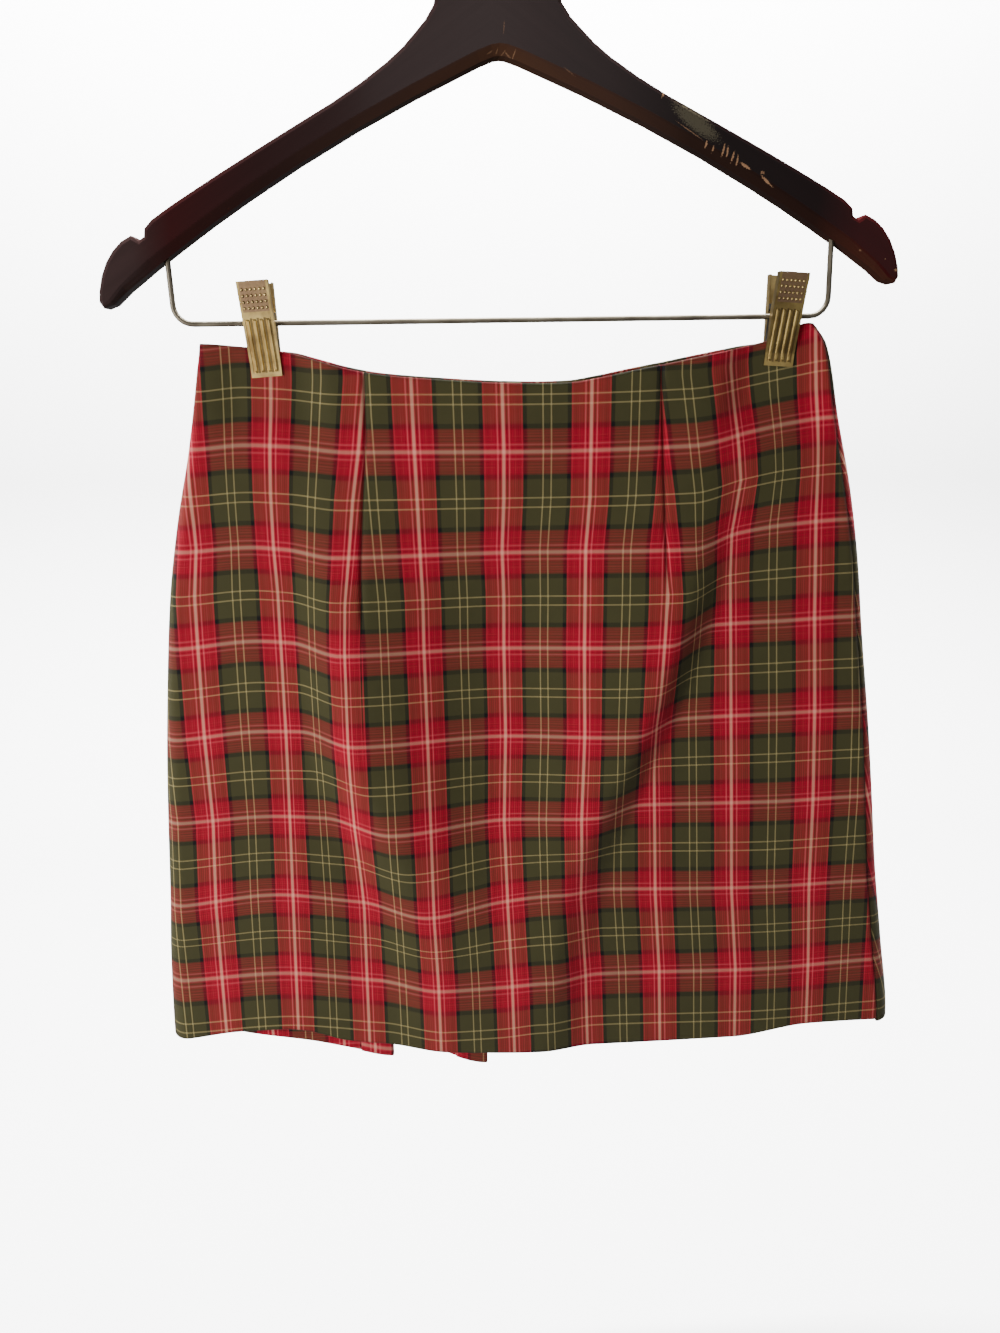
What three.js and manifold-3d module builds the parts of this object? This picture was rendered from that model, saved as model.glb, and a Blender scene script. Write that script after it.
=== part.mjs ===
import * as THREE from 'three';
import { mergeVertices } from 'three/addons/utils/BufferGeometryUtils.js';
import Module from 'manifold-3d';

// Tartan mini skirt clipped to a wooden trouser hanger. Lengths are millimetres.
// The point where the hook hangs is the origin, +Z is up and the skirt front faces -Y.
const CLOTH = 1.2;
const SEAM_GAP = 0.3;
const WAIST_LEVEL = -270;
const FRONT_COLUMNS = 44;
const BACK_COLUMNS = 46;
const PANEL_ROWS = 18;

// Outline of the flat tube, one row per drop below the centre-front waist.
// left and right are the folded side edges, side and the rest are half depths.
const OUTLINE = [
  { drop: -20, left: -159, right: 177, side: 3.0, rightSeam: 0.2 },
  { drop: 0, left: -162, right: 189, side: 3.5, rightSeam: 1 },
  { drop: 40, left: -169.5, right: 199, side: 5.5, rightSeam: 3 },
  { drop: 80, left: -179, right: 210, side: 7.5, rightSeam: 5 },
  { drop: 120, left: -186.5, right: 218.5, side: 8.5, rightSeam: 5 },
  { drop: 160, left: -191.5, right: 225, side: 9, rightSeam: 5 },
  { drop: 220, left: -197.5, right: 236, side: 10, rightSeam: 6 },
  { drop: 300, left: -203, right: 249, side: 11, rightSeam: 8 },
  { drop: 360, left: -207, right: 259, side: 11.5, rightSeam: 9 },
  { drop: 430, left: -209.5, right: 269.5, side: 12, rightSeam: 10 },
];

// Two soft folds run down the front from the clips towards the centre.
// xCrest is the ridge, xFoot its outer foot, the d columns are the half depths there.
const FRONT_FOLDS = [
  { drop: -20, xFootL: -120, xCrestL: -88, xCrestR: 110, xFootR: 150,
    dFootL: 5, dCrestL: 7, dMid: 8, dCrestR: 8, dFootR: 5 },
  { drop: 39, xFootL: -112, xCrestL: -80, xCrestR: 112, xFootR: 148,
    dFootL: 7, dCrestL: 9.5, dMid: 10, dCrestR: 12, dFootR: 8 },
  { drop: 96, xFootL: -118, xCrestL: -90, xCrestR: 114, xFootR: 142,
    dFootL: 9, dCrestL: 17, dMid: 11, dCrestR: 18, dFootR: 11 },
  { drop: 152, xFootL: -118, xCrestL: -88, xCrestR: 102, xFootR: 132,
    dFootL: 10, dCrestL: 25, dMid: 12, dCrestR: 25, dFootR: 11 },
  { drop: 206, xFootL: -116, xCrestL: -82, xCrestR: 84, xFootR: 114,
    dFootL: 11, dCrestL: 28, dMid: 14, dCrestR: 26, dFootR: 12 },
  { drop: 260, xFootL: -104, xCrestL: -62, xCrestR: 62, xFootR: 92,
    dFootL: 11, dCrestL: 29, dMid: 17, dCrestR: 24, dFootR: 13 },
  { drop: 313, xFootL: -84, xCrestL: -42, xCrestR: 40, xFootR: 74,
    dFootL: 12, dCrestL: 26, dMid: 22, dCrestR: 24, dFootR: 14 },
  { drop: 374, xFootL: -76, xCrestL: -34, xCrestR: 34, xFootR: 68,
    dFootL: 13, dCrestL: 23, dMid: 22, dCrestR: 23, dFootR: 14 },
  { drop: 430, xFootL: -72, xCrestL: -30, xCrestR: 30, xFootR: 66,
    dFootL: 13, dCrestL: 20, dMid: 20, dCrestR: 20, dFootR: 14 },
];

// How far the cloth is lifted along each section, left edge to right edge, by the pull of the clips.
const FRONT_LIFT = [
  { drop: 39, edgeL: 1.5, wideL: 3.8, footL: 2.8, crestL: 0,
    crestR: 3, footR: 10.5, wideR: 15.3, edgeR: 18.5 },
  { drop: 96, edgeL: 1.2, wideL: 4, footL: 2.6, crestL: -1.2,
    crestR: 1.8, footR: 10, wideR: 14.5, edgeR: 17.3 },
  { drop: 152, edgeL: 1.2, wideL: 5.8, footL: 4.6, crestL: 0,
    crestR: 3, footR: 12, wideR: 13.5, edgeR: 15.7 },
  { drop: 206, edgeL: -0.3, wideL: 4.8, footL: 4.4, crestL: -0.2,
    crestR: 2, footR: 8, wideR: 9.6, edgeR: 11.2 },
  { drop: 260, edgeL: -0.2, wideL: 3.4, footL: 1.5, crestL: -3.3,
    crestR: 2.5, footR: 5.8, wideR: 5, edgeR: 7.1 },
  { drop: 313, edgeL: -2.4, wideL: 4, footL: -2.5, crestL: -7.4,
    crestR: 4.4, footR: 2.5, wideR: -0.5, edgeR: 1.6 },
  { drop: 374, edgeL: 6.1, wideL: 9.7, footL: 2.8, crestL: -0.8,
    crestR: 2.4, footR: 2.4, wideR: 0.6, edgeR: 4.8 },
];
const X_WIDE_L = -138;
const X_MID = 4;
const X_WIDE_R = 172;

// Cut edges of the front, x against height.
const FRONT_WAIST = [
  [-160, -251.2], [-136, -252.7], [-113.5, -255.4], [-96.7, -259.7], [-80, -264.1], [-63, -267.1],
  [-45.7, -268.7], [-29, -269.8], [4, -271.5], [26, -271.8], [43, -271.3], [60, -268.6], [82, -264.1],
  [98.5, -261], [115, -257.6], [133, -254], [152, -249.7], [166, -244.4], [177, -239.3],
];
const FRONT_HEM = [
  [-209, -682], [-165, -677.4], [-138, -676.7], [-122, -678.5], [-96, -686.5], [-65, -690.5], [-24, -693.8],
  [26, -696], [90, -696], [160, -695.4], [212, -687.5], [259, -686.4], [269, -688],
];

// The back has softer folds of its own and its waist stands a little above the front's.
const BACK_FOLDS = [
  { drop: -20, dOuterL: 5, dInnerL: 8, dInnerR: 8, dOuterR: 5 },
  { drop: 40, dOuterL: 9, dInnerL: 11, dInnerR: 12, dOuterR: 9 },
  { drop: 100, dOuterL: 14, dInnerL: 12, dInnerR: 16, dOuterR: 11 },
  { drop: 180, dOuterL: 17, dInnerL: 13, dInnerR: 19, dOuterR: 12 },
  { drop: 260, dOuterL: 18, dInnerL: 13, dInnerR: 18, dOuterR: 15 },
  { drop: 340, dOuterL: 14, dInnerL: 11, dInnerR: 14, dOuterR: 18 },
  { drop: 430, dOuterL: 10, dInnerL: 9, dInnerR: 10, dOuterR: 16 },
];
const X_OUTER_L = -128;
const X_INNER_L = -44;
const X_INNER_R = 62;
const X_OUTER_R = 150;
const BACK_WAIST_RISE = 1.0;
const BACK_HEM_RIGHT_SIDE = [[-209, -682], [-165, -694.5], [-122, -702], [-96, -708.5], [-68, -715]];
const BACK_HEM_MIDDLE = [[-98, -698], [-68, -702.5], [-43, -710], [-4, -723.6]];
const BACK_HEM_LEFT_SIDE = [
  [-34, -698], [-4, -704], [30, -706.5], [90, -705], [160, -700], [212, -693], [269, -688],
];

// Seams of the back and the two kick pleats at their lower ends.
const OUTER_PLEAT_SEAM = [[-20, -58], [200, -63], [430, -68]];
const CENTRE_SEAM = [[-20, 6], [200, 2], [430, -4]];
const PLEAT_START = 318;
const PLEAT_RUN = 36;
const PLEAT_UNDERLAY = 28;
const PLEAT_SINK = 3.2;
const PLEAT_BLEND = 20;

// Trouser hanger, drawn level and then rolled about the hook.
const HANGER_ROLL = 2.0;
const WOOD_SLICES = [
  { y: -8, foot: 4.6, rest: 2.2 }, { y: -7.3, foot: 3.7, rest: 0.7 }, { y: -5.8, foot: 2.1, rest: 0 },
  { y: -3.8, foot: 0, rest: 0 }, { y: 5.8, foot: 0, rest: 0 }, { y: 7.3, foot: 0.7, rest: 0.7 },
  { y: 8, foot: 2.2, rest: 2.2 },
];
const WOOD_TOP = [
  [0, -50], [9, -51.5], [18, -56], [25, -64], [29.5, -76], [32.5, -88], [37, -94.5], [42.5, -100],
  [49, -106.3],
  [57.3, -112.8], [72, -122.4], [86.7, -130.8], [101.5, -138.4], [116.5, -146.2], [131.6, -154.1],
  [146.8, -162.2], [162, -170.5], [174, -177.2], [184.5, -183.6],
];
const WOOD_NOTCH = [[188.6, -187.6], [189.3, -191.6], [192, -193.3], [194, -191.6], [196, -190.8]];
const WOOD_END = [
  [201.5, -193.6], [206.5, -198.2], [210.5, -203.6], [213.8, -210.4], [216, -218], [216.6, -223],
  [214.6, -226.3],
];
const WOOD_BOTTOM = [
  [209.5, -224.5], [201.7, -218], [185.5, -206.6], [169, -195.8], [152.9, -185.6], [134.5, -174.6],
  [105.7, -158.4], [75, -142.6], [44.8, -128.4], [24, -119.4], [10, -113.4], [3, -111], [0, -110.6],
];
const ROD_RADIUS = 1.5;
const ROD_LEG = 180;
const ROD_LEVEL_LEFT = -235.3;
const ROD_LEVEL_RIGHT = -241.8;
const ROD_BEND = 10;
const ROD_TOP = -192;
const SOCKET_CLEARANCE = 0.3;
const HOOK_RADIUS = 2;
const HOOK_LOOP = 20;
const HOOK_FOOT = -66;
const HOOK_NECK = -46;

// Spring clips, one row each: where the jaw grips and how the clip leans on the rod.
const CLIPS = [
  { name: 'left', xJaw: -123.7, zJaw: -268.5, lean: 4.5, alongRod: -134.1 },
  { name: 'right', xJaw: 161.6, zJaw: -262.6, lean: -3.4, alongRod: 154.6 },
];
const PLATE_WIDTH = 16.6;
const PLATE_LENGTH = 49;
const PLATE_THICK = 0.8;
const JAW_GAP = 1.9;
const PINCH_MARGIN = 8;
const PINCH_FADE_ASIDE = 20;
const PINCH_FADE_BELOW = 40;
const FLANGE_DEPTH = 4.6;
const RIB_HEIGHT = 0.7;
const SPRING_LENGTH = 9;
const SPRING_WALL = 1.2;
// Plate side view: distance up from the jaw against the distance of its inner face from the middle.
const PLATE_PROFILE = [
  { up: 0, inner: JAW_GAP }, { up: 7, inner: JAW_GAP }, { up: 17, inner: 3.9 },
  { up: 28, inner: 6.2 }, { up: 38, inner: 8.3 }, { up: PLATE_LENGTH, inner: 10.6 },
];
const RIB_ACROSS = [-5.4, -1.8, 1.8, 5.4];
const RIB_FROM = 2.5;
const RIB_TO = 30;

// Zip in the centre-back seam.
const ZIP_LENGTH = 180;
const ZIP_TAPE_WIDTH = 22;
const ZIP_TAPE_THICK = 0.8;
const ZIP_TAPE_DROP = 11;
const SLIDER_DROP = 16;
const SLIDER = { width: 6, height: 9, thick: 2.2 };
const TAB = { width: 5, length: 20, thick: 1.1, pinRadius: 0.7 };

function material(name, colour, roughness, metalness) {
  return new THREE.MeshStandardMaterial({ name, color: colour, roughness, metalness });
}

function addMesh(group, name, geometry, mat) {
  const mesh = new THREE.Mesh(geometry, mat);
  mesh.name = name;
  group.add(mesh);
  return mesh;
}

function clamp01(t) {
  return Math.min(1, Math.max(0, t));
}

function smooth(t) {
  const c = clamp01(t);
  return c * c * (3 - 2 * c);
}

// Slope at a knot that never overshoots its neighbours.
function knotSlope(points, i) {
  if (i === 0 || i === points.length - 1) return 0;
  const before = (points[i][1] - points[i - 1][1]) / (points[i][0] - points[i - 1][0]);
  const after = (points[i + 1][1] - points[i][1]) / (points[i + 1][0] - points[i][0]);
  if (before * after <= 0) return 0;
  return (2 * before * after) / (before + after);
}

// Smooth curve through [position, value] pairs.
function curve(points, at) {
  const last = points.length - 1;
  if (at <= points[0][0]) return points[0][1];
  if (at >= points[last][0]) return points[last][1];
  let i = 0;
  while (at > points[i + 1][0]) i += 1;
  const width = points[i + 1][0] - points[i][0];
  const t = (at - points[i][0]) / width;
  const t2 = t * t;
  const t3 = t2 * t;
  const fromStart = (2 * t3 - 3 * t2 + 1) * points[i][1] + (t3 - 2 * t2 + t) * width * knotSlope(points, i);
  const fromEnd = (3 * t2 - 2 * t3) * points[i + 1][1] + (t3 - t2) * width * knotSlope(points, i + 1);
  return fromStart + fromEnd;
}

function column(table, name, drop) {
  return curve(table.map((row) => [row.drop, row[name]]), drop);
}

function outlineAt(drop) {
  const left = column(OUTLINE, 'left', drop);
  const right = column(OUTLINE, 'right', drop);
  const side = column(OUTLINE, 'side', drop);
  return { left, right, middle: (left + right) / 2, half: (right - left) / 2, side };
}

function frontDepth(x, drop, edge) {
  const fold = (name) => column(FRONT_FOLDS, name, drop);
  const knots = [
    [edge.left, edge.side],
    [fold('xFootL'), fold('dFootL')],
    [fold('xCrestL'), fold('dCrestL')],
    [X_MID, fold('dMid')],
    [fold('xCrestR'), fold('dCrestR')],
    [fold('xFootR'), fold('dFootR')],
    [edge.right, edge.side],
  ];
  return curve(knots, x);
}

function backDepth(x, drop, edge) {
  const knots = [
    [edge.left, edge.side],
    [X_OUTER_L, column(BACK_FOLDS, 'dOuterL', drop)],
    [X_INNER_L, column(BACK_FOLDS, 'dInnerL', drop)],
    [X_INNER_R, column(BACK_FOLDS, 'dInnerR', drop)],
    [X_OUTER_R, column(BACK_FOLDS, 'dOuterR', drop)],
    [edge.right, edge.side],
  ];
  return curve(knots, x);
}

function frontLift(x, drop, edge) {
  const lift = (name) => column(FRONT_LIFT, name, drop);
  const fold = (name) => column(FRONT_FOLDS, name, drop);
  const knots = [
    [edge.left, lift('edgeL')],
    [X_WIDE_L, lift('wideL')],
    [fold('xFootL'), lift('footL')],
    [fold('xCrestL'), lift('crestL')],
    [X_MID, 0],
    [fold('xCrestR'), lift('crestR')],
    [fold('xFootR'), lift('footR')],
    [X_WIDE_R, lift('wideR')],
    [edge.right, lift('edgeR')],
  ];
  return curve(knots, x);
}

function backLift(x, drop, edge) {
  const across = smooth((x - edge.left) / (edge.right - edge.left));
  return column(FRONT_LIFT, 'edgeL', drop) * (1 - across) + column(FRONT_LIFT, 'edgeR', drop) * across;
}

// The clips squeeze front and back together round each jaw.
function squeeze(x, z) {
  let most = 0;
  for (const clip of CLIPS) {
    const aside = Math.abs(x - clip.xJaw) - PLATE_WIDTH / 2 - PINCH_MARGIN;
    const below = clip.zJaw - PINCH_MARGIN - z;
    most = Math.max(most, smooth(1 - aside / PINCH_FADE_ASIDE) * smooth(1 - below / PINCH_FADE_BELOW));
  }
  return most;
}

// Point on the middle of the cloth. turn runs 0..1 over the front from left to right
// and 1..2 over the back from right to left.
function ringPoint(anyTurn, drop) {
  const edge = outlineAt(drop);
  const turn = ((anyTurn % 2) + 2) % 2;
  const front = turn <= 1;
  const across = front ? 2 * turn - 1 : 3 - 2 * turn;
  const x = edge.middle + edge.half * Math.sin((across * Math.PI) / 2);
  const lift = front ? frontLift(x, drop, edge) : backLift(x, drop, edge);
  const z = WAIST_LEVEL - drop + lift;
  const open = front ? frontDepth(x, drop, edge) : backDepth(x, drop, edge);
  const closed = CLOTH / 2 + SEAM_GAP;
  const pinch = squeeze(x, z);
  const depth = open * (1 - pinch) + closed * pinch;
  const radius = Math.max(edge.side, depth * 0.8);
  const inset = Math.min(x - edge.left, edge.right - x);
  const round = inset < radius ? Math.sqrt(Math.max(0, 1 - (1 - inset / radius) ** 2)) : 1;
  return new THREE.Vector3(x, (front ? -1 : 1) * depth * round, z);
}

// Turn at which the back (or front) crosses a given x.
function turnAt(x, drop, front) {
  const edge = outlineAt(drop);
  const across = (2 / Math.PI) * Math.asin(Math.max(-1, Math.min(1, (x - edge.middle) / edge.half)));
  return front ? (across + 1) / 2 : (3 - across) / 2;
}

// Shift a turn by a length measured along the section.
function shiftTurn(turn, drop, length) {
  const step = 0.002;
  const travelled = ringPoint(turn + step, drop).distanceTo(ringPoint(turn - step, drop));
  return turn + (length * 2 * step) / travelled;
}

function outward(turn, drop) {
  const step = 0.004;
  const along = ringPoint(turn + step, drop).sub(ringPoint(turn - step, drop));
  const down = ringPoint(turn, drop + 1).sub(ringPoint(turn, drop - 1));
  return along.cross(down).normalize().negate();
}

function dropOfHeight(turn, level, guess) {
  const p = ringPoint(turn, guess);
  return guess + (p.z - level);
}

// Closed solid from two matching grids of points, outer and inner.
function wallSolid(outer, inner) {
  const rows = outer.length;
  const columns = outer[0].length;
  const positions = [];
  for (const p of [...outer.flat(), ...inner.flat()]) positions.push(p.x, p.y, p.z);
  const index = [];
  const at = (layer, r, c) => layer * rows * columns + r * columns + c;
  const quad = (a, b, c, d) => index.push(a, b, c, a, c, d);
  for (let r = 0; r < rows - 1; r += 1) {
    for (let c = 0; c < columns - 1; c += 1) {
      quad(at(0, r, c), at(0, r + 1, c), at(0, r + 1, c + 1), at(0, r, c + 1));
      quad(at(1, r, c), at(1, r, c + 1), at(1, r + 1, c + 1), at(1, r + 1, c));
    }
    quad(at(0, r, 0), at(1, r, 0), at(1, r + 1, 0), at(0, r + 1, 0));
    quad(at(0, r, columns - 1), at(0, r + 1, columns - 1), at(1, r + 1, columns - 1), at(1, r, columns - 1));
  }
  for (let c = 0; c < columns - 1; c += 1) {
    quad(at(0, 0, c), at(0, 0, c + 1), at(1, 0, c + 1), at(1, 0, c));
    quad(at(0, rows - 1, c), at(1, rows - 1, c), at(1, rows - 1, c + 1), at(0, rows - 1, c + 1));
  }
  const geometry = new THREE.BufferGeometry();
  geometry.setAttribute('position', new THREE.Float32BufferAttribute(positions, 3));
  geometry.setIndex(index);
  geometry.computeVertexNormals();
  return geometry;
}

// Cloth panel between two edges. Each edge is a function of drop giving a turn.
function panelSolid(panel) {
  const outer = [];
  const inner = [];
  for (let r = 0; r <= PANEL_ROWS; r += 1) {
    const outerRow = [];
    const innerRow = [];
    for (let c = 0; c <= panel.columns; c += 1) {
      const p = panelPoint(panel, c / panel.columns, rowShare(r / PANEL_ROWS));
      outerRow.push(p.middle.clone().addScaledVector(p.normal, CLOTH / 2));
      innerRow.push(p.middle.clone().addScaledVector(p.normal, -CLOTH / 2));
    }
    outer.push(outerRow);
    inner.push(innerRow);
  }
  return wallSolid(outer, inner);
}

// Rows stand closer together at the waist, where the clips squeeze the cloth.
function rowShare(t) {
  return t * (0.7 + 0.3 * t);
}

function panelPoint(panel, u, v) {
  let drop = v * 440 - 10;
  let turn = 0;
  for (let pass = 0; pass < 4; pass += 1) {
    turn = panel.start(drop) * (1 - u) + panel.end(drop) * u;
    const x = ringPoint(turn, drop).x;
    const top = dropOfHeight(turn, curve(panel.waist, x) + panel.waistRise(x), -5);
    const bottom = dropOfHeight(turn, curve(panel.hem, x), 425);
    drop = top * (1 - v) + bottom * v;
  }
  const middle = ringPoint(turn, drop);
  middle.y -= panel.sink(middle.x, drop);
  return { middle, normal: outward(turn, drop) };
}

function seamX(seam, drop) {
  return curve(seam, drop);
}

// The back waist stands proud between the clips and meets the front at the sides.
function waistRise(x) {
  return BACK_WAIST_RISE * smooth((x + 118) / 14) * smooth((152 - x) / 14);
}

function pleatUnderlay(drop) {
  return PLEAT_UNDERLAY * smooth((drop - PLEAT_START) / PLEAT_RUN);
}

// Cloth that passes under a pleat is sunk inwards beside the seam.
function pleatSink(seam, x, drop) {
  const open = smooth((drop - PLEAT_START + PLEAT_RUN) / PLEAT_RUN);
  return PLEAT_SINK * open * smooth(1 - (x - seamX(seam, drop)) / PLEAT_BLEND);
}

function rightSeamTurn(drop) {
  const edge = outlineAt(drop);
  return turnAt(edge.right - column(OUTLINE, 'rightSeam', drop), drop, true);
}

function frontPanel() {
  return {
    columns: FRONT_COLUMNS,
    start: (drop) => shiftTurn(0, drop, SEAM_GAP / 2),
    end: (drop) => shiftTurn(rightSeamTurn(drop), drop, -SEAM_GAP / 2),
    waist: FRONT_WAIST,
    hem: FRONT_HEM,
    waistRise: () => 0,
    sink: () => 0,
  };
}

function backPanels() {
  const outerTurn = (drop, extra) => turnAt(seamX(OUTER_PLEAT_SEAM, drop) - extra, drop, false);
  const centreTurn = (drop, extra) => turnAt(seamX(CENTRE_SEAM, drop) - extra, drop, false);
  const common = { waist: FRONT_WAIST, waistRise };
  const rightSide = {
    ...common,
    columns: Math.round(BACK_COLUMNS * 0.3),
    start: (drop) => shiftTurn(outerTurn(drop, 0), drop, SEAM_GAP / 2),
    end: (drop) => shiftTurn(2, drop, -SEAM_GAP / 2),
    hem: BACK_HEM_RIGHT_SIDE,
    sink: () => 0,
  };
  const middle = {
    ...common,
    columns: Math.round(BACK_COLUMNS * 0.24),
    start: (drop) => shiftTurn(centreTurn(drop, 0), drop, SEAM_GAP / 2),
    end: (drop) => shiftTurn(outerTurn(drop, pleatUnderlay(drop)), drop, -SEAM_GAP / 2),
    hem: BACK_HEM_MIDDLE,
    sink: (x, drop) => pleatSink(OUTER_PLEAT_SEAM, x, drop),
  };
  const leftSide = {
    ...common,
    columns: Math.round(BACK_COLUMNS * 0.56),
    start: (drop) => shiftTurn(rightSeamTurn(drop), drop, SEAM_GAP / 2),
    end: (drop) => shiftTurn(centreTurn(drop, pleatUnderlay(drop)), drop, -SEAM_GAP / 2),
    hem: BACK_HEM_LEFT_SIDE,
    sink: (x, drop) => pleatSink(CENTRE_SEAM, x, drop),
  };
  return { rightSide, middle, leftSide };
}

function asManifold(wasm, geometry) {
  const bare = new THREE.BufferGeometry();
  bare.setAttribute('position', geometry.getAttribute('position').clone());
  if (geometry.index) bare.setIndex(geometry.index.clone());
  const merged = mergeVertices(bare, 1e-4);
  const mesh = new wasm.Mesh({
    numProp: 3,
    vertProperties: new Float32Array(merged.getAttribute('position').array),
    triVerts: new Uint32Array(merged.index.array),
  });
  mesh.merge();
  return new wasm.Manifold(mesh);
}

function fromManifold(solid) {
  const mesh = solid.getMesh();
  const geometry = new THREE.BufferGeometry();
  geometry.setAttribute('position', new THREE.Float32BufferAttribute(mesh.vertProperties, 3));
  geometry.setIndex(Array.from(mesh.triVerts));
  geometry.computeVertexNormals();
  return geometry;
}

function cylinderBetween(from, to, radius, sides) {
  const along = to.clone().sub(from);
  const geometry = new THREE.CylinderGeometry(radius, radius, along.length(), sides);
  const up = new THREE.Vector3(0, 1, 0);
  const turn = new THREE.Quaternion().setFromUnitVectors(up, along.clone().normalize());
  geometry.applyQuaternion(turn);
  geometry.translate((from.x + to.x) / 2, (from.y + to.y) / 2, (from.z + to.z) / 2);
  return geometry;
}

// Half outline of the board, each point marked with how much of the broad lower chamfer it takes.
function woodOutline() {
  const upper = [...WOOD_TOP, ...WOOD_NOTCH, ...WOOD_END].map(([x, z]) => ({ x, z, foot: 0 }));
  const lower = WOOD_BOTTOM.map(([x, z], i) => ({ x, z, foot: Math.min(1, 0.25 + 0.4 * i) }));
  const half = [...upper, ...lower];
  const other = half.slice(1, -1).reverse().map((p) => ({ ...p, x: -p.x }));
  return [...half, ...other];
}

function woodSlice(outline, slice) {
  return outline.map((p, i) => {
    const before = outline[(i + outline.length - 1) % outline.length];
    const after = outline[(i + 1) % outline.length];
    const length = Math.hypot(after.x - before.x, after.z - before.z);
    const inset = slice.rest + (slice.foot - slice.rest) * p.foot;
    return new THREE.Vector3(
      p.x + (inset * (after.z - before.z)) / length,
      slice.y,
      p.z - (inset * (after.x - before.x)) / length,
    );
  });
}

// Board with chamfered edges: rings of points from the front face to the back face.
function woodBlank() {
  const outline = woodOutline();
  const rings = WOOD_SLICES.map((slice) => woodSlice(outline, slice));
  const count = outline.length;
  const index = [];
  for (let k = 0; k < rings.length - 1; k += 1) {
    for (let i = 0; i < count; i += 1) {
      const a = k * count + i;
      const b = k * count + ((i + 1) % count);
      index.push(a, b, a + count, b, b + count, a + count);
    }
  }
  const last = (rings.length - 1) * count;
  for (const [ring, start] of [[rings[0], 0], [rings[rings.length - 1], last]]) {
    const contour = ring.map((p) => new THREE.Vector2(p.x, p.z));
    for (const [a, b, c] of THREE.ShapeUtils.triangulateShape(contour, [])) {
      const area = THREE.ShapeUtils.area([contour[a], contour[b], contour[c]]);
      const facesFront = area > 0;
      if (facesFront === (start === 0)) index.push(start + a, start + b, start + c);
      else index.push(start + a, start + c, start + b);
    }
  }
  const geometry = new THREE.BufferGeometry();
  const positions = rings.flat().flatMap((p) => [p.x, p.y, p.z]);
  geometry.setAttribute('position', new THREE.Float32BufferAttribute(positions, 3));
  geometry.setIndex(index);
  geometry.computeVertexNormals();
  return geometry;
}

function woodBody(wasm) {
  const body = woodBlank();
  const legHole = (x) => cylinderBetween(
    new THREE.Vector3(x, 0, ROD_TOP + SOCKET_CLEARANCE),
    new THREE.Vector3(x, 0, ROD_TOP - 40),
    ROD_RADIUS + SOCKET_CLEARANCE,
    14,
  );
  const stemHole = cylinderBetween(
    new THREE.Vector3(0, 0, HOOK_FOOT - SOCKET_CLEARANCE),
    new THREE.Vector3(0, 0, HOOK_FOOT + 40),
    HOOK_RADIUS + SOCKET_CLEARANCE,
    14,
  );
  let solid = asManifold(wasm, body);
  for (const hole of [legHole(-ROD_LEG), legHole(ROD_LEG), stemHole]) {
    solid = solid.subtract(asManifold(wasm, hole));
  }
  return fromManifold(solid);
}

// Closed round bar along a list of points.
function bar(points, radius, sides) {
  const outerRings = points.map((p, i) => {
    const before = points[Math.max(0, i - 1)];
    const after = points[Math.min(points.length - 1, i + 1)];
    const along = after.clone().sub(before).normalize();
    const side = new THREE.Vector3(0, 1, 0);
    const other = along.clone().cross(side).normalize();
    return { p, side, other };
  });
  const positions = [];
  for (const ring of outerRings) {
    for (let s = 0; s < sides; s += 1) {
      const angle = (2 * Math.PI * s) / sides;
      const q = ring.p.clone();
      q.addScaledVector(ring.side, radius * Math.cos(angle));
      q.addScaledVector(ring.other, radius * Math.sin(angle));
      positions.push(q.x, q.y, q.z);
    }
  }
  const index = [];
  const first = positions.length / 3;
  positions.push(points[0].x, points[0].y, points[0].z);
  const end = points[points.length - 1];
  positions.push(end.x, end.y, end.z);
  for (let r = 0; r < points.length - 1; r += 1) {
    for (let s = 0; s < sides; s += 1) {
      const next = (s + 1) % sides;
      const a = r * sides + s;
      const b = r * sides + next;
      index.push(a, b, b + sides, a, b + sides, a + sides);
    }
  }
  const lastRing = (points.length - 1) * sides;
  for (let s = 0; s < sides; s += 1) {
    const next = (s + 1) % sides;
    index.push(first, next, s);
    index.push(first + 1, lastRing + s, lastRing + next);
  }
  const geometry = new THREE.BufferGeometry();
  geometry.setAttribute('position', new THREE.Float32BufferAttribute(positions, 3));
  geometry.setIndex(index);
  geometry.computeVertexNormals();
  return geometry;
}

function arcPoints(cx, cz, radius, from, to, steps) {
  const points = [];
  for (let i = 0; i <= steps; i += 1) {
    const angle = THREE.MathUtils.degToRad(from + ((to - from) * i) / steps);
    points.push(new THREE.Vector3(cx + radius * Math.cos(angle), 0, cz + radius * Math.sin(angle)));
  }
  return points;
}

function rodGeometry() {
  const left = ROD_LEVEL_LEFT + ROD_BEND;
  const right = ROD_LEVEL_RIGHT + ROD_BEND;
  const points = [
    new THREE.Vector3(-ROD_LEG, 0, ROD_TOP),
    ...arcPoints(-ROD_LEG + ROD_BEND, left, ROD_BEND, 180, 270, 6),
    ...arcPoints(ROD_LEG - ROD_BEND, right, ROD_BEND, 270, 360, 6),
    new THREE.Vector3(ROD_LEG, 0, ROD_TOP),
  ];
  return bar(points, ROD_RADIUS, 10);
}

function hookGeometry() {
  const points = [
    new THREE.Vector3(0, 0, HOOK_FOOT),
    new THREE.Vector3(0, 0, HOOK_NECK),
    new THREE.Vector3(1.2, 0, -42.5),
    new THREE.Vector3(5, 0, -38.6),
    ...arcPoints(0, -HOOK_LOOP + HOOK_RADIUS, HOOK_LOOP, -62, 205, 20),
  ];
  return bar(points, HOOK_RADIUS, 10);
}

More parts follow.
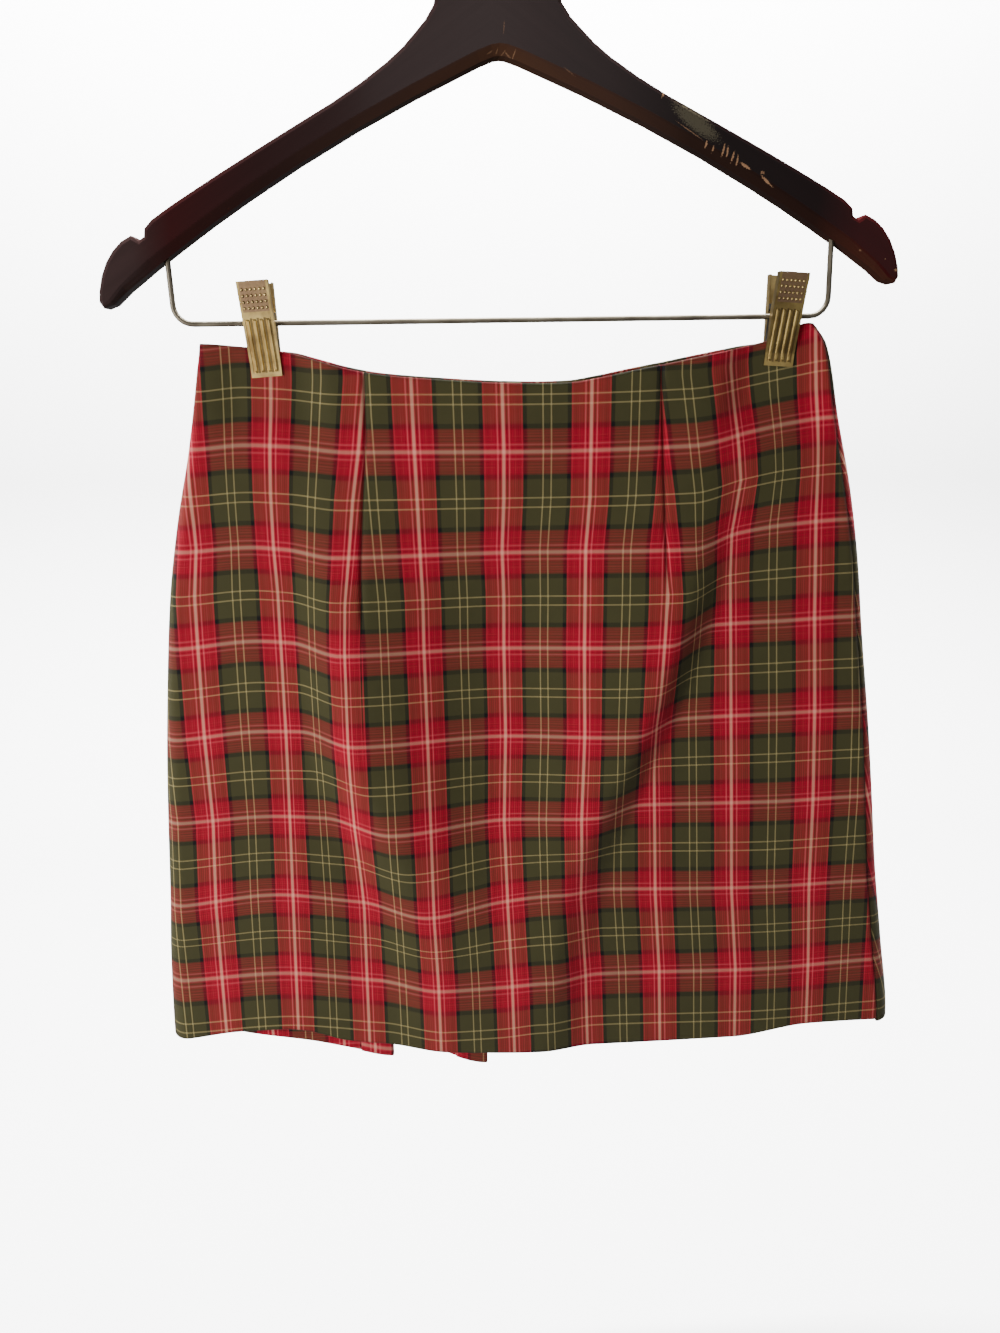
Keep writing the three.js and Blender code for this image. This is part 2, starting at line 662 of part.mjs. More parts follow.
// Pressed plate with folded-in sides; facing is -1 for the front plate, +1 for the back one.
function clipPlate(facing, ribbed) {
  const across = plateSection(ribbed);
  const stations = ribbed ? ribStations() : [...PLATE_PROFILE];
  stations.reverse();
  if (facing > 0) across.reverse();
  const outer = stations.map((station) => across.map((a) => plateOuter(station, a, facing)));
  const inner = stations.map((station) => across.map((a) => plateInner(station, a, facing)));
  return wallSolid(outer, inner);
}

// Points across the plate: a lip and a corner at each side, four ribs between.
function plateSection(ribbed) {
  const ribs = [];
  for (const middle of ribbed ? RIB_ACROSS : []) {
    ribs.push({ x: middle - 1.1, rib: 0 }, { x: middle - 0.5, rib: 1 });
    ribs.push({ x: middle + 0.5, rib: 1 }, { x: middle + 1.1, rib: 0 });
  }
  return [{ side: -1, lip: 1 }, { side: -1, lip: 0 }, ...ribs, { side: 1, lip: 0 }, { side: 1, lip: 1 }];
}

function lipDepth(station) {
  return Math.min(FLANGE_DEPTH, station.inner - JAW_GAP);
}

function plateOuter(station, a, facing) {
  const x = a.side ? (a.side * PLATE_WIDTH) / 2 : a.x;
  const ridge = a.rib && station.rib ? RIB_HEIGHT : 0;
  const y = a.lip ? station.inner - lipDepth(station) : station.inner + PLATE_THICK + ridge;
  return new THREE.Vector3(x, facing * y, station.up);
}

function plateInner(station, a, facing) {
  const x = a.side ? a.side * (PLATE_WIDTH / 2 - PLATE_THICK) : a.x;
  const y = a.lip ? station.inner - lipDepth(station) : station.inner;
  return new THREE.Vector3(x, facing * y, station.up);
}

function innerAt(up) {
  let i = 0;
  while (i < PLATE_PROFILE.length - 2 && up > PLATE_PROFILE[i + 1].up) i += 1;
  const a = PLATE_PROFILE[i];
  const b = PLATE_PROFILE[i + 1];
  return a.inner + ((b.inner - a.inner) * (up - a.up)) / (b.up - a.up);
}

function ribStations() {
  const rows = PLATE_PROFILE.map((row) => ({ ...row, rib: row.up > RIB_FROM && row.up < RIB_TO ? 1 : 0 }));
  for (const [up, rib] of [[RIB_FROM, 0], [RIB_FROM + 1, 1], [RIB_TO - 1, 1], [RIB_TO, 0]]) {
    rows.push({ up, inner: innerAt(up), rib });
  }
  return rows.sort((a, b) => a.up - b.up);
}

function placeClip(geometry, clip) {
  geometry.rotateY(THREE.MathUtils.degToRad(-clip.lean));
  geometry.translate(clip.xJaw, 0, clip.zJaw);
  return geometry;
}

function springGeometry(clip) {
  const inner = ROD_RADIUS + SOCKET_CLEARANCE;
  const outer = inner + SPRING_WALL;
  const profile = [
    new THREE.Vector2(inner, -SPRING_LENGTH / 2),
    new THREE.Vector2(outer, -SPRING_LENGTH / 2),
    new THREE.Vector2(outer, SPRING_LENGTH / 2),
    new THREE.Vector2(inner, SPRING_LENGTH / 2),
    new THREE.Vector2(inner, -SPRING_LENGTH / 2),
  ];
  const span = 2 * (ROD_LEG - ROD_BEND);
  const rise = (ROD_LEVEL_RIGHT - ROD_LEVEL_LEFT) / span;
  const geometry = new THREE.LatheGeometry(profile, 16);
  geometry.rotateZ(-Math.PI / 2);
  geometry.rotateY(-Math.atan(rise));
  geometry.translate(clip.alongRod, 0, ROD_LEVEL_LEFT + rise * (clip.alongRod + span / 2));
  return geometry;
}

function zipTapeSolid() {
  const outer = [];
  const inner = [];
  const depthIn = CLOTH / 2 + SEAM_GAP;
  for (let r = 0; r <= 10; r += 1) {
    const drop = ZIP_TAPE_DROP + (ZIP_LENGTH * r) / 10;
    const outerRow = [];
    const innerRow = [];
    for (let c = 0; c <= 4; c += 1) {
      const x = seamX(CENTRE_SEAM, drop) + ZIP_TAPE_WIDTH * (0.5 - c / 4);
      const turn = turnAt(x, drop, false);
      const p = ringPoint(turn, drop);
      const n = outward(turn, drop);
      outerRow.push(p.clone().addScaledVector(n, -depthIn));
      innerRow.push(p.clone().addScaledVector(n, -depthIn - ZIP_TAPE_THICK));
    }
    outer.push(outerRow);
    inner.push(innerRow);
  }
  return wallSolid(outer, inner);
}

function sliderFrame() {
  const x = seamX(CENTRE_SEAM, SLIDER_DROP);
  const p = ringPoint(turnAt(x, SLIDER_DROP, false), SLIDER_DROP);
  const reach = SLIDER.height / 2;
  const below = ringPoint(turnAt(x, SLIDER_DROP + reach, false), SLIDER_DROP + reach);
  const slope = Math.atan2(below.y - p.y, p.z - below.z);
  return { x, y: p.y + (CLOTH / 2 + SEAM_GAP) / Math.cos(slope), z: p.z, slope };
}

function sliderSolid(wasm) {
  const s = sliderFrame();
  const body = new THREE.BoxGeometry(SLIDER.width, SLIDER.thick, SLIDER.height);
  body.translate(s.x, s.y + SLIDER.thick / 2, s.z);
  const bridge = new THREE.BoxGeometry(1.6, 3.4, 6);
  bridge.translate(s.x, s.y + SLIDER.thick + 1.5, s.z);
  const eye = new THREE.BoxGeometry(3, 1.9, 3.4);
  eye.translate(s.x, s.y + SLIDER.thick + 1.05, s.z);
  for (const piece of [body, bridge, eye]) {
    piece.translate(-s.x, -s.y, -s.z);
    piece.rotateX(s.slope);
    piece.translate(s.x, s.y, s.z);
  }
  return fromManifold(asManifold(wasm, body).add(asManifold(wasm, bridge).subtract(asManifold(wasm, eye))));
}

function tabSolid(wasm) {
  const s = sliderFrame();
  const y = s.y + SLIDER.thick + 1.05;
  const pin = new THREE.CylinderGeometry(TAB.pinRadius, TAB.pinRadius, TAB.width, 12);
  pin.rotateZ(Math.PI / 2);
  pin.translate(s.x, y, s.z);
  const armDrop = 7;
  const armWidth = 1.2;
  const arm = (side) => {
    const g = new THREE.BoxGeometry(armWidth, TAB.thick, armDrop);
    g.translate(s.x + side * (TAB.width - armWidth) / 2, y, s.z - armDrop / 2 + 0.4);
    return g;
  };
  const blade = new THREE.BoxGeometry(TAB.width, TAB.thick, TAB.length - armDrop);
  blade.translate(s.x, y, s.z - armDrop - (TAB.length - armDrop) / 2 + 0.8);
  let solid = asManifold(wasm, pin);
  for (const piece of [arm(-1), arm(1), blade]) solid = solid.add(asManifold(wasm, piece));
  return fromManifold(solid);
}

const wasm = await Module();
wasm.setup();

const tartan = material('tartan_wool', 0x8c2a2c, 0.9, 0);
const tapeCloth = material('zip_tape_olive', 0x3c3e22, 0.85, 0);
const darkWood = material('dark_stained_wood', 0x2a1614, 0.3, 0);
const wireMetal = material('nickel_wire', 0x87816f, 0.35, 0.9);
const brassMetal = material('brass_clip', 0xa8935e, 0.4, 0.85);
const springSteel = material('dark_spring_steel', 0x2c2a28, 0.5, 0.8);

const part = new THREE.Group();
part.name = 'tartan_mini_skirt_on_hanger';
const panels = backPanels();
addMesh(part, 'front_panel', panelSolid(frontPanel()), tartan);
addMesh(part, 'back_right_panel', panelSolid(panels.rightSide), tartan);
addMesh(part, 'back_middle_panel', panelSolid(panels.middle), tartan);
addMesh(part, 'back_left_panel', panelSolid(panels.leftSide), tartan);
addMesh(part, 'zip_tape', zipTapeSolid(), tapeCloth);
addMesh(part, 'zip_slider', sliderSolid(wasm), springSteel);
addMesh(part, 'zip_pull_tab', tabSolid(wasm), springSteel);

const roll = THREE.MathUtils.degToRad(-HANGER_ROLL);
addMesh(part, 'hanger_body', woodBody(wasm).rotateY(roll), darkWood);
addMesh(part, 'hanger_hook', hookGeometry().rotateY(roll), wireMetal);
addMesh(part, 'clip_rod', rodGeometry().rotateY(roll), wireMetal);
for (const clip of CLIPS) {
  addMesh(part, `${clip.name}_clip_front_plate`, placeClip(clipPlate(-1, true), clip), brassMetal);
  addMesh(part, `${clip.name}_clip_back_plate`, placeClip(clipPlate(1, false), clip), brassMetal);
  addMesh(part, `${clip.name}_clip_spring`, springGeometry(clip).rotateY(roll), springSteel);
}

export default part;
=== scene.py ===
import math

import bmesh
import bpy
import numpy as np
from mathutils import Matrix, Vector


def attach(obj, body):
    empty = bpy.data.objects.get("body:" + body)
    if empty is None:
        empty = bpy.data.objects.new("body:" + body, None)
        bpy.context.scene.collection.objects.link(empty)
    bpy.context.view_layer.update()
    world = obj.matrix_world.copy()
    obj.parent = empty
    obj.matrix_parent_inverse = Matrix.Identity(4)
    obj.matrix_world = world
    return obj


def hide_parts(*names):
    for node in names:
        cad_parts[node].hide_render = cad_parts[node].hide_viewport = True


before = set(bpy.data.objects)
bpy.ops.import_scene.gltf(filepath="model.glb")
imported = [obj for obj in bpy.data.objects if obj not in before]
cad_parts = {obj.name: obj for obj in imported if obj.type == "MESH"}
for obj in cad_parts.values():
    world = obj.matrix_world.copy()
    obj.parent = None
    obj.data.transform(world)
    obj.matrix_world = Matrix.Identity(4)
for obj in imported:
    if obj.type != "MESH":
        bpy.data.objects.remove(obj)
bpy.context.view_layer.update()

# Room: the piece hangs in front of a pale wall over a pale floor and is seen from a
# little to its left and slightly above. A broad soft lamp stands low on the left, a
# weaker one hangs in front, and a third washes the wall.
EYE_HEIGHT = -0.270
EYE_DISTANCE = 0.582
EYE_TURN = math.radians(3.5)
EYE_PITCH = math.radians(16.0)
EYE_SIDE = 0.0045
EYE_FILM = 36
EYE_LENS = EYE_FILM / 1.333
FLOOR_LEVEL = -0.95
FLOOR_FRONT = -3.0
WALL_DISTANCE = 1.3
WALL_TOP = 2.5
WALL_HALF = 3.5
WALL_BEND = 0.5
BEND_STEPS = 12
PAPER = (0.9, 0.9, 0.9)
ROOM_GLOW = 0.22
SKIRT_MIDDLE = (0, 0, -0.45)
# Name, place, aim, size and power of each lamp.
LAMPS = [
    ("key_softbox", (-1.25, -1.1, -0.62), SKIRT_MIDDLE, (0.9, 0.9), 56),
    ("fill_softbox", (0.5, -2.1, 0.1), SKIRT_MIDDLE, (1.4, 1.4), 6),
    ("wall_wash", (0, 0.35, 1.3), (0, 1.3, -0.4), (2.4, 0.5), 620),
]


def into_scene(thing):
    bpy.context.scene.collection.objects.link(thing)
    return thing


def new_finish(name):
    """A new finish with its tree of nodes and its shader."""
    finish = bpy.data.materials.new(name)
    finish.use_nodes = True
    return finish, finish.node_tree, finish.node_tree.nodes["Principled BSDF"]


def feed(tree, value, socket):
    """Links a socket to another one, or sets it to a number, a place or a colour."""
    if isinstance(value, bpy.types.NodeSocket):
        tree.links.new(value, socket)
    else:
        socket.default_value = (*value, 1) if socket.type == "RGBA" else value


def fill(tree, node, values):
    for name, value in values.items():
        feed(tree, value, node.inputs[name])


def plain_finish(name, colour, roughness):
    finish, tree, shader = new_finish(name)
    fill(tree, shader, {"Base Color": colour, "Roughness": roughness})
    return finish


def hang_camera():
    data = bpy.data.cameras.new("eye")
    data.sensor_width = EYE_FILM
    data.lens = EYE_LENS
    camera = into_scene(bpy.data.objects.new("eye", data))
    camera.location = (
        EYE_SIDE - EYE_DISTANCE * math.sin(EYE_TURN),
        -EYE_DISTANCE * math.cos(EYE_TURN),
        EYE_HEIGHT,
    )
    camera.rotation_euler = (math.pi / 2 - EYE_PITCH, 0, -EYE_TURN)
    bpy.context.scene.camera = camera


def sweep_backdrop():
    """Floor that curves up into the wall behind."""
    profile = [(FLOOR_FRONT, FLOOR_LEVEL), (WALL_DISTANCE - WALL_BEND, FLOOR_LEVEL)]
    for step in range(1, BEND_STEPS + 1):
        angle = math.pi / 2 * step / BEND_STEPS
        profile.append((
            WALL_DISTANCE - WALL_BEND + WALL_BEND * math.sin(angle),
            FLOOR_LEVEL + WALL_BEND - WALL_BEND * math.cos(angle),
        ))
    profile.append((WALL_DISTANCE, WALL_TOP))
    points = [(side, y, z) for y, z in profile for side in (-WALL_HALF, WALL_HALF)]
    faces = [(2 * i, 2 * i + 1, 2 * i + 3, 2 * i + 2) for i in range(len(profile) - 1)]
    mesh = bpy.data.meshes.new("backdrop")
    mesh.from_pydata(points, [], faces)
    for face in mesh.polygons:
        face.use_smooth = True
    mesh.materials.append(plain_finish("backdrop_paper", PAPER, 0.9))
    backdrop = into_scene(bpy.data.objects.new("backdrop", mesh))
    backdrop.visible_diffuse = False
    backdrop.visible_glossy = False


def hang_lamp(name, place, aim, size, power):
    data = bpy.data.lights.new(name, "AREA")
    data.shape = "RECTANGLE"
    data.size, data.size_y = size
    data.energy = power
    lamp = into_scene(bpy.data.objects.new(name, data))
    lamp.location = place
    direction = np.array(aim) - np.array(place)
    yaw = math.atan2(direction[0], direction[1])
    pitch = math.atan2(direction[2], math.hypot(direction[0], direction[1]))
    lamp.rotation_euler = (math.pi / 2 + pitch, 0, -yaw)


def light_room():
    world = bpy.data.worlds.new("room")
    world.use_nodes = True
    glow = world.node_tree.nodes["Background"]
    glow.inputs["Color"].default_value = (1, 1, 1, 1)
    glow.inputs["Strength"].default_value = ROOM_GLOW
    bpy.context.scene.world = world
    for lamp in LAMPS:
        hang_lamp(*lamp)


hang_camera()
sweep_backdrop()
light_room()


# Cloth tube: the skirt is four panels of light wool twill sewn into a tube, squeezed
# flat by the two clips. This section holds the run of the whole tube, in millimetres:
# its folded side edges, the folds between the clips and the lift the clips give it.
CLOTH = 1.2
SEAM_GAP = 0.3
WAIST_LEVEL = -270.0
EDGE_FROM = [0, 0.4, 1.0]
EDGE_THICKNESS = [0.3, 0.8, 1.0]
EDGE_SHADE_REACH = 0.9
SEAM_DIP = 0.45
FINE_STEPS = [0.45, 0.9, 1.6, 2.6]
HEM_DEPTH = 32.0
HEM_LAYER = 0.9
PINCH_MARGIN = 8.0
PINCH_FADE_ASIDE = 20.0
PINCH_FADE_BELOW = 40.0
PLATE_WIDTH = 16.6
JAWS = {"left": (-123.7, -268.5), "right": (161.6, -262.6)}
SIDE_ROUNDING = 0.8
CLOTH_LENGTH = 430.0
HEM_DROP = 425.0
CLOSEST_STEP = 0.3
EDGE_ROUNDS = 7
NO_SEAM_NEAR = 99.0


def table(names, rows):
    """Rows of numbers under named columns."""
    return dict(zip(names.split(), zip(*rows)))


# In each table drop is the way down the tube. left and right are its side edges, side its
# depth beside them and right_seam how far in from the right edge that side's seam lies.
OUTLINE = table("drop left right side right_seam", [
    (-20, -159, 177, 3.0, 0.2),
    (0, -162, 189, 3.5, 1),
    (40, -169.5, 199, 5.5, 3),
    (80, -179, 210, 7.5, 5),
    (120, -186.5, 218.5, 8.5, 5),
    (160, -191.5, 225, 9, 5),
    (220, -197.5, 236, 10, 6),
    (300, -203, 249, 11, 8),
    (360, -207, 259, 11.5, 9),
    (430, -209.5, 269.5, 12, 10),
])
# Two folds stand out of the front: where the foot and crest of each lie, and how far out.
FRONT_FOLDS = table("drop x_foot_l x_crest_l x_crest_r x_foot_r foot_l crest_l mid crest_r foot_r", [
    (-20, -120, -88, 110, 150, 5, 7, 8, 8, 5),
    (39, -112, -80, 112, 148, 7, 9.5, 10, 12, 8),
    (96, -118, -90, 114, 142, 9, 17, 11, 18, 11),
    (152, -118, -88, 102, 132, 10, 25, 12, 25, 11),
    (206, -116, -82, 84, 114, 11, 28, 14, 26, 12),
    (260, -104, -62, 62, 92, 11, 29, 17, 24, 13),
    (313, -84, -42, 40, 74, 12, 26, 22, 24, 14),
    (374, -76, -34, 34, 68, 13, 23, 22, 23, 14),
    (430, -72, -30, 30, 66, 13, 20, 20, 20, 14),
])
# How far the cloth is lifted above a level line round the tube, at those places and wider.
FRONT_LIFT = table("drop edge_l wide_l foot_l crest_l crest_r foot_r wide_r edge_r", [
    (39, 1.5, 3.8, 2.8, 0, 3, 10.5, 15.3, 18.5),
    (96, 1.2, 4, 2.6, -1.2, 1.8, 10, 14.5, 17.3),
    (152, 1.2, 5.8, 4.6, 0, 3, 12, 13.5, 15.7),
    (206, -0.3, 4.8, 4.4, -0.2, 2, 8, 9.6, 11.2),
    (260, -0.2, 3.4, 1.5, -3.3, 2.5, 5.8, 5, 7.1),
    (313, -2.4, 4, -2.5, -7.4, 4.4, 2.5, -0.5, 1.6),
    (374, 6.1, 9.7, 2.8, -0.8, 2.4, 2.4, 0.6, 4.8),
])
X_WIDE_L, X_MID, X_WIDE_R = -138, 4, 172
BACK_FOLDS = table("drop outer_l inner_l inner_r outer_r", [
    (-20, 5, 8, 8, 5),
    (40, 9, 11, 12, 9),
    (100, 14, 12, 16, 11),
    (180, 17, 13, 19, 12),
    (260, 18, 13, 18, 15),
    (340, 14, 11, 14, 18),
    (430, 10, 9, 10, 16),
])
X_OUTER_L, X_INNER_L, X_INNER_R, X_OUTER_R = -128, -44, 62, 150


def smooth(t):
    t = np.clip(t, 0, 1)
    return t * t * (3 - 2 * t)


def curve(places, values, at):
    """Smooth curve through knots; places and values may differ from point to point."""
    at = np.asarray(at, float)
    p = [np.broadcast_to(np.asarray(place, float), at.shape) for place in places]
    v = [np.broadcast_to(np.asarray(value, float), at.shape) for value in values]
    rise = [(v[i + 1] - v[i]) / (p[i + 1] - p[i]) for i in range(len(p) - 1)]
    slope = [np.zeros(at.shape)]
    for before, after in zip(rise[:-1], rise[1:]):
        both = before * after
        mean = 2 * both / np.where(both > 0, before + after, 1)
        slope.append(np.where(both > 0, mean, 0))
    slope.append(np.zeros(at.shape))
    out = np.where(at <= p[0], v[0], v[-1])
    for i in range(len(p) - 1):
        width = p[i + 1] - p[i]
        t = (at - p[i]) / width
        t2, t3 = t * t, t * t * t
        run = (2 * t3 - 3 * t2 + 1) * v[i] + (t3 - 2 * t2 + t) * width * slope[i]
        run = run + (3 * t2 - 2 * t3) * v[i + 1] + (t3 - t2) * width * slope[i + 1]
        out = np.where((at > p[i]) & (at <= p[i + 1]), run, out)
    return out


def column(rows, name, drop):
    return curve(rows["drop"], rows[name], drop)


def columns(rows, names, drop):
    return [column(rows, name, drop) for name in names.split()]


def front_depth(x, drop):
    left, side, right = columns(OUTLINE, "left side right", drop)
    foot_l, crest_l, crest_r, foot_r = columns(FRONT_FOLDS, "x_foot_l x_crest_l x_crest_r x_foot_r", drop)
    depths = columns(FRONT_FOLDS, "foot_l crest_l mid crest_r foot_r", drop)
    return curve([left, foot_l, crest_l, X_MID, crest_r, foot_r, right], [side, *depths, side], x)


def back_depth(x, drop):
    left, side, right = columns(OUTLINE, "left side right", drop)
    depths = columns(BACK_FOLDS, "outer_l inner_l inner_r outer_r", drop)
    places = [left, X_OUTER_L, X_INNER_L, X_INNER_R, X_OUTER_R, right]
    return curve(places, [side, *depths, side], x)


def front_lift(x, drop):
    left, right = columns(OUTLINE, "left right", drop)
    foot_l, crest_l, crest_r, foot_r = columns(FRONT_FOLDS, "x_foot_l x_crest_l x_crest_r x_foot_r", drop)
    places = [left, X_WIDE_L, foot_l, crest_l, X_MID, crest_r, foot_r, X_WIDE_R, right]
    left_lifts = columns(FRONT_LIFT, "edge_l wide_l foot_l crest_l", drop)
    right_lifts = columns(FRONT_LIFT, "crest_r foot_r wide_r edge_r", drop)
    return curve(places, [*left_lifts, 0, *right_lifts], x)


def back_lift(x, drop):
    left, right = columns(OUTLINE, "left right", drop)
    lift_left, lift_right = columns(FRONT_LIFT, "edge_l edge_r", drop)
    across = smooth((x - left) / (right - left))
    return lift_left * (1 - across) + lift_right * across


def squeeze(x, z):
    """How far the clips press front and back together, 0 to 1."""
    most = np.zeros(np.shape(x))
    for jaw_x, jaw_z in JAWS.values():
        aside = np.abs(x - jaw_x) - PLATE_WIDTH / 2 - PINCH_MARGIN
        below = jaw_z - PINCH_MARGIN - z
        pressed = smooth(1 - aside / PINCH_FADE_ASIDE) * smooth(1 - below / PINCH_FADE_BELOW)
        most = np.maximum(most, pressed)
    return most


def ring_point(turn, drop):
    """Middle of the cloth. turn 0..1 is the front, left to right; 1..2 the back, right to left."""
    turn = np.mod(turn, 2)
    front = turn <= 1
    across = np.where(front, 2 * turn - 1, 3 - 2 * turn)
    left, side, right = columns(OUTLINE, "left side right", drop)
    x = (left + right) / 2 + (right - left) / 2 * np.sin(across * math.pi / 2)
    z = WAIST_LEVEL - drop + np.where(front, front_lift(x, drop), back_lift(x, drop))
    wide = np.where(front, front_depth(x, drop), back_depth(x, drop))
    pinch = squeeze(x, z)
    depth = wide * (1 - pinch) + (CLOTH / 2 + SEAM_GAP) * pinch
    radius = np.maximum(side, depth * SIDE_ROUNDING)
    inset = np.minimum(x - left, right - x)
    closing = np.sqrt(np.clip(1 - (1 - np.minimum(inset / radius, 1)) ** 2, 0, 1))
    return np.stack([x, np.where(front, -1, 1) * depth * closing, z], -1)


def turn_at(x, drop, front):
    left, right = columns(OUTLINE, "left right", drop)
    across = 2 / math.pi * np.arcsin(np.clip((x - (left + right) / 2) / ((right - left) / 2), -1, 1))
    return (across + 1) / 2 if front else (3 - across) / 2


def shift_turn(turn, drop, length):
    step = 0.002
    travelled = np.linalg.norm(ring_point(turn + step, drop) - ring_point(turn - step, drop), axis=-1)
    return turn + length * 2 * step / travelled


def cut_line(points, x):
    return curve([p[0] for p in points], [p[1] for p in points], x)


def edge_drop(turns, share, cut, drop):
    """How far down the tube a cut edge lies, all along the edge."""
    for _ in range(EDGE_ROUNDS):
        place = ring_point(turns(share, drop), drop)
        drop = drop + place[..., 2] - cut(place[..., 0])
    return drop


def share_with(count, length, marks):
    """Even steps from 0 to 1, with finer ones beside each mark."""
    steps = list(np.linspace(0, 1, count + 1)) + list(marks)
    for mark in marks:
        for fine in FINE_STEPS:
            steps += [mark - fine / length, mark + fine / length]
    near = CLOSEST_STEP / length
    kept = [0.0]
    for step in sorted(set(steps)):
        clear = min(abs(step - mark) for mark in marks) > near
        if 0 < step <= 1 and (step in marks or (clear and step - kept[-1] > near)):
            kept.append(step)
    return np.array(kept)


def hang_panel(turns, cut_top, cut_foot, edge, rows):
    """A panel as a grid of drops and points, between its cut top and its cut foot. edge holds
    the shares of its width, 0 to 1, and turns(share, drop) the way round the tube."""
    top = edge_drop(turns, edge, cut_top, np.zeros(edge.shape))
    foot = edge_drop(turns, edge, cut_foot, np.full(edge.shape, HEM_DROP))
    down = share_with(rows, CLOTH_LENGTH, (0.0, 1.0))[:, None]
    drop = top * (1 - down) + foot * down
    return drop, ring_point(turns(np.tile(edge, (len(down), 1)), drop), drop)


def run_across(middle):
    """Distance travelled across each row of a grid, from its first column."""
    step = np.linalg.norm(np.diff(middle, axis=1), axis=-1)
    return np.concatenate([np.zeros((len(step), 1)), np.cumsum(step, 1)], 1)


def outward(middle):
    """Unit normals of a grid, pointing out of the tube."""
    normal = -np.cross(np.gradient(middle, axis=1), np.gradient(middle, axis=0))
    return normal / np.linalg.norm(normal, axis=-1, keepdims=True)


def corners(values):
    """Per-point values as face corners, in the order of the faces."""
    return np.stack([values[:-1, :-1], values[1:, :-1], values[1:, 1:], values[:-1, 1:]], 2)


def hang_piece(name, mesh, finish, node=None):
    """A finished mesh as a piece of the body that hangs, in place of a solid where one is named."""
    mesh.materials.append(finish)
    piece = into_scene(bpy.data.objects.new(name, mesh))
    if node:
        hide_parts(node)
    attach(piece, "skirt")
    return piece


def cloth_piece(name, node, finish, middle, drop, fabric, turned=None, seams=None):
    """Closed thin wall round a grid of points, round at its cut top and foot. fabric holds,
    per face corner, the place on the flat cloth; turned the extra wall inside a hem; seams
    the distance of each point from the nearest sewn edge, where it dips and gets painted shade."""
    normal = outward(middle)
    cut = np.minimum(drop - drop[0], drop[-1] - drop)
    fade = np.interp(cut, EDGE_FROM, EDGE_THICKNESS)[..., None]
    # Painted shade along the cut top and foot and along the seams, stored per point for the cloth's colour.
    shade = np.exp(-(cut / EDGE_SHADE_REACH) ** 2)
    if seams is not None:
        sewn = np.exp(-(seams / EDGE_SHADE_REACH) ** 2)
        middle = middle - normal * (SEAM_DIP * sewn)[..., None]
        shade = np.maximum(shade, sewn)
    inward = 0 if turned is None else turned[..., None]
    outer = middle + normal * fade * CLOTH / 2
    inner = middle - normal * fade * (CLOTH / 2 + inward)
    points = np.concatenate([outer.reshape(-1, 3), inner.reshape(-1, 3)]) / 1000
    grid = np.arange(drop.size).reshape(drop.shape)
    quads = corners(grid).reshape(-1, 4)
    faces = [quads, quads[:, ::-1] + grid.size]
    places = [fabric.reshape(-1, 4, 2), fabric[..., ::-1, :].reshape(-1, 4, 2)]
    rims = [
        (grid[0], fabric[0, :, 0], fabric[0, :, 3]),
        (grid[-1][::-1], fabric[-1, ::-1, 2], fabric[-1, ::-1, 1]),
        (grid[::-1, 0], fabric[::-1, 0, 1], fabric[::-1, 0, 0]),
        (grid[:, -1], fabric[:, -1, 3], fabric[:, -1, 2]),
    ]
    for rim, near, far in rims:
        faces.append(np.stack([rim[:-1], rim[1:], rim[1:] + grid.size, rim[:-1] + grid.size], -1))
        places.append(np.stack([near, far, far, near], 1))
    faces = np.concatenate(faces)
    places = np.concatenate(places)
    mesh = bpy.data.meshes.new(name)
    mesh.vertices.add(len(points))
    mesh.vertices.foreach_set("co", points.ravel())
    mesh.loops.add(faces.size)
    mesh.loops.foreach_set("vertex_index", faces.ravel())
    mesh.polygons.add(len(faces))
    mesh.polygons.foreach_set("loop_start", np.arange(0, faces.size, 4))
    mesh.polygons.foreach_set("loop_total", np.full(len(faces), 4))
    layer = mesh.uv_layers.new(name="fabric")
    mesh.update(calc_edges=True)
    layer.data.foreach_set("uv", places.ravel())
    mesh.polygons.foreach_set("use_smooth", np.ones(len(faces), bool))
    painted_edge_shade = mesh.attributes.new("edge_shade", "FLOAT", "POINT")
    painted_edge_shade.data.foreach_set("value", np.tile(shade.ravel(), 2))
    mesh.validate()
    return hang_piece(name, mesh, finish, node)


# Tartan: a fine wool blend twill. Warp and weft carry the same order of yarns: a red
# band with a cream line and its pink guards, a black line, an olive band with two ochre
# lines, a black line. Each crossing shows both yarns in small diagonal ribs.
WARP_REPEAT_MM = 48.5
WEFT_REPEAT_MM = 56.0
SHARED_YARNS = {
    "black": (0.0035, 0.0030, 0.0032),
    "olive": (0.0370, 0.0335, 0.0120),
    "ochre": (0.270, 0.215, 0.090),
}
WARP_YARNS = {
    "cream": (0.680, 0.270, 0.185),
    "pink": (0.600, 0.070, 0.085),
    "red": (0.330, 0.0015, 0.0170),
    "deep": (0.175, 0.0015, 0.0080),
    "rose": (0.400, 0.0120, 0.0280),
    **SHARED_YARNS,
}
WEFT_YARNS = {
    "cream": (0.480, 0.200, 0.140),
    "pink": (0.420, 0.050, 0.062),
    "red": (0.240, 0.0015, 0.0130),
    "deep": (0.130, 0.0012, 0.0070),
    "rose": (0.300, 0.0100, 0.0200),
    **SHARED_YARNS,
}
# Where each yarn begins, in repeats from the middle of the cream line.
RED_BAND = [
    (0.014, "pink"), (0.022, "red"), (0.034, "deep"), (0.044, "red"), (0.056, "pink"), (0.071, "red"),
    (0.086, "deep"), (0.096, "red"), (0.116, "deep"), (0.128, "rose"), (0.140, "deep"), (0.152, "red"),
    (0.164, "deep"), (0.176, "red"), (0.188, "deep"), (0.200, "rose"),
]
GREEN_BAND = [(0.221, "black"), (0.268, "olive"), (0.444, "ochre"), (0.458, "olive")]
WEFT_STRETCH = 1.1
WARP_SHARE = 0.55
WARP_SWING = 0.40
YARN_FINENESS = 9.0
YARN_RELIEF = 0.25
CREASE_SHADE = (0.22, 0.20, 0.20)
CREASE_MOST = 0.75
UNEVEN_SCALE, UNEVEN_SWING, UNEVEN_BASE = 55, 0.22, 0.89
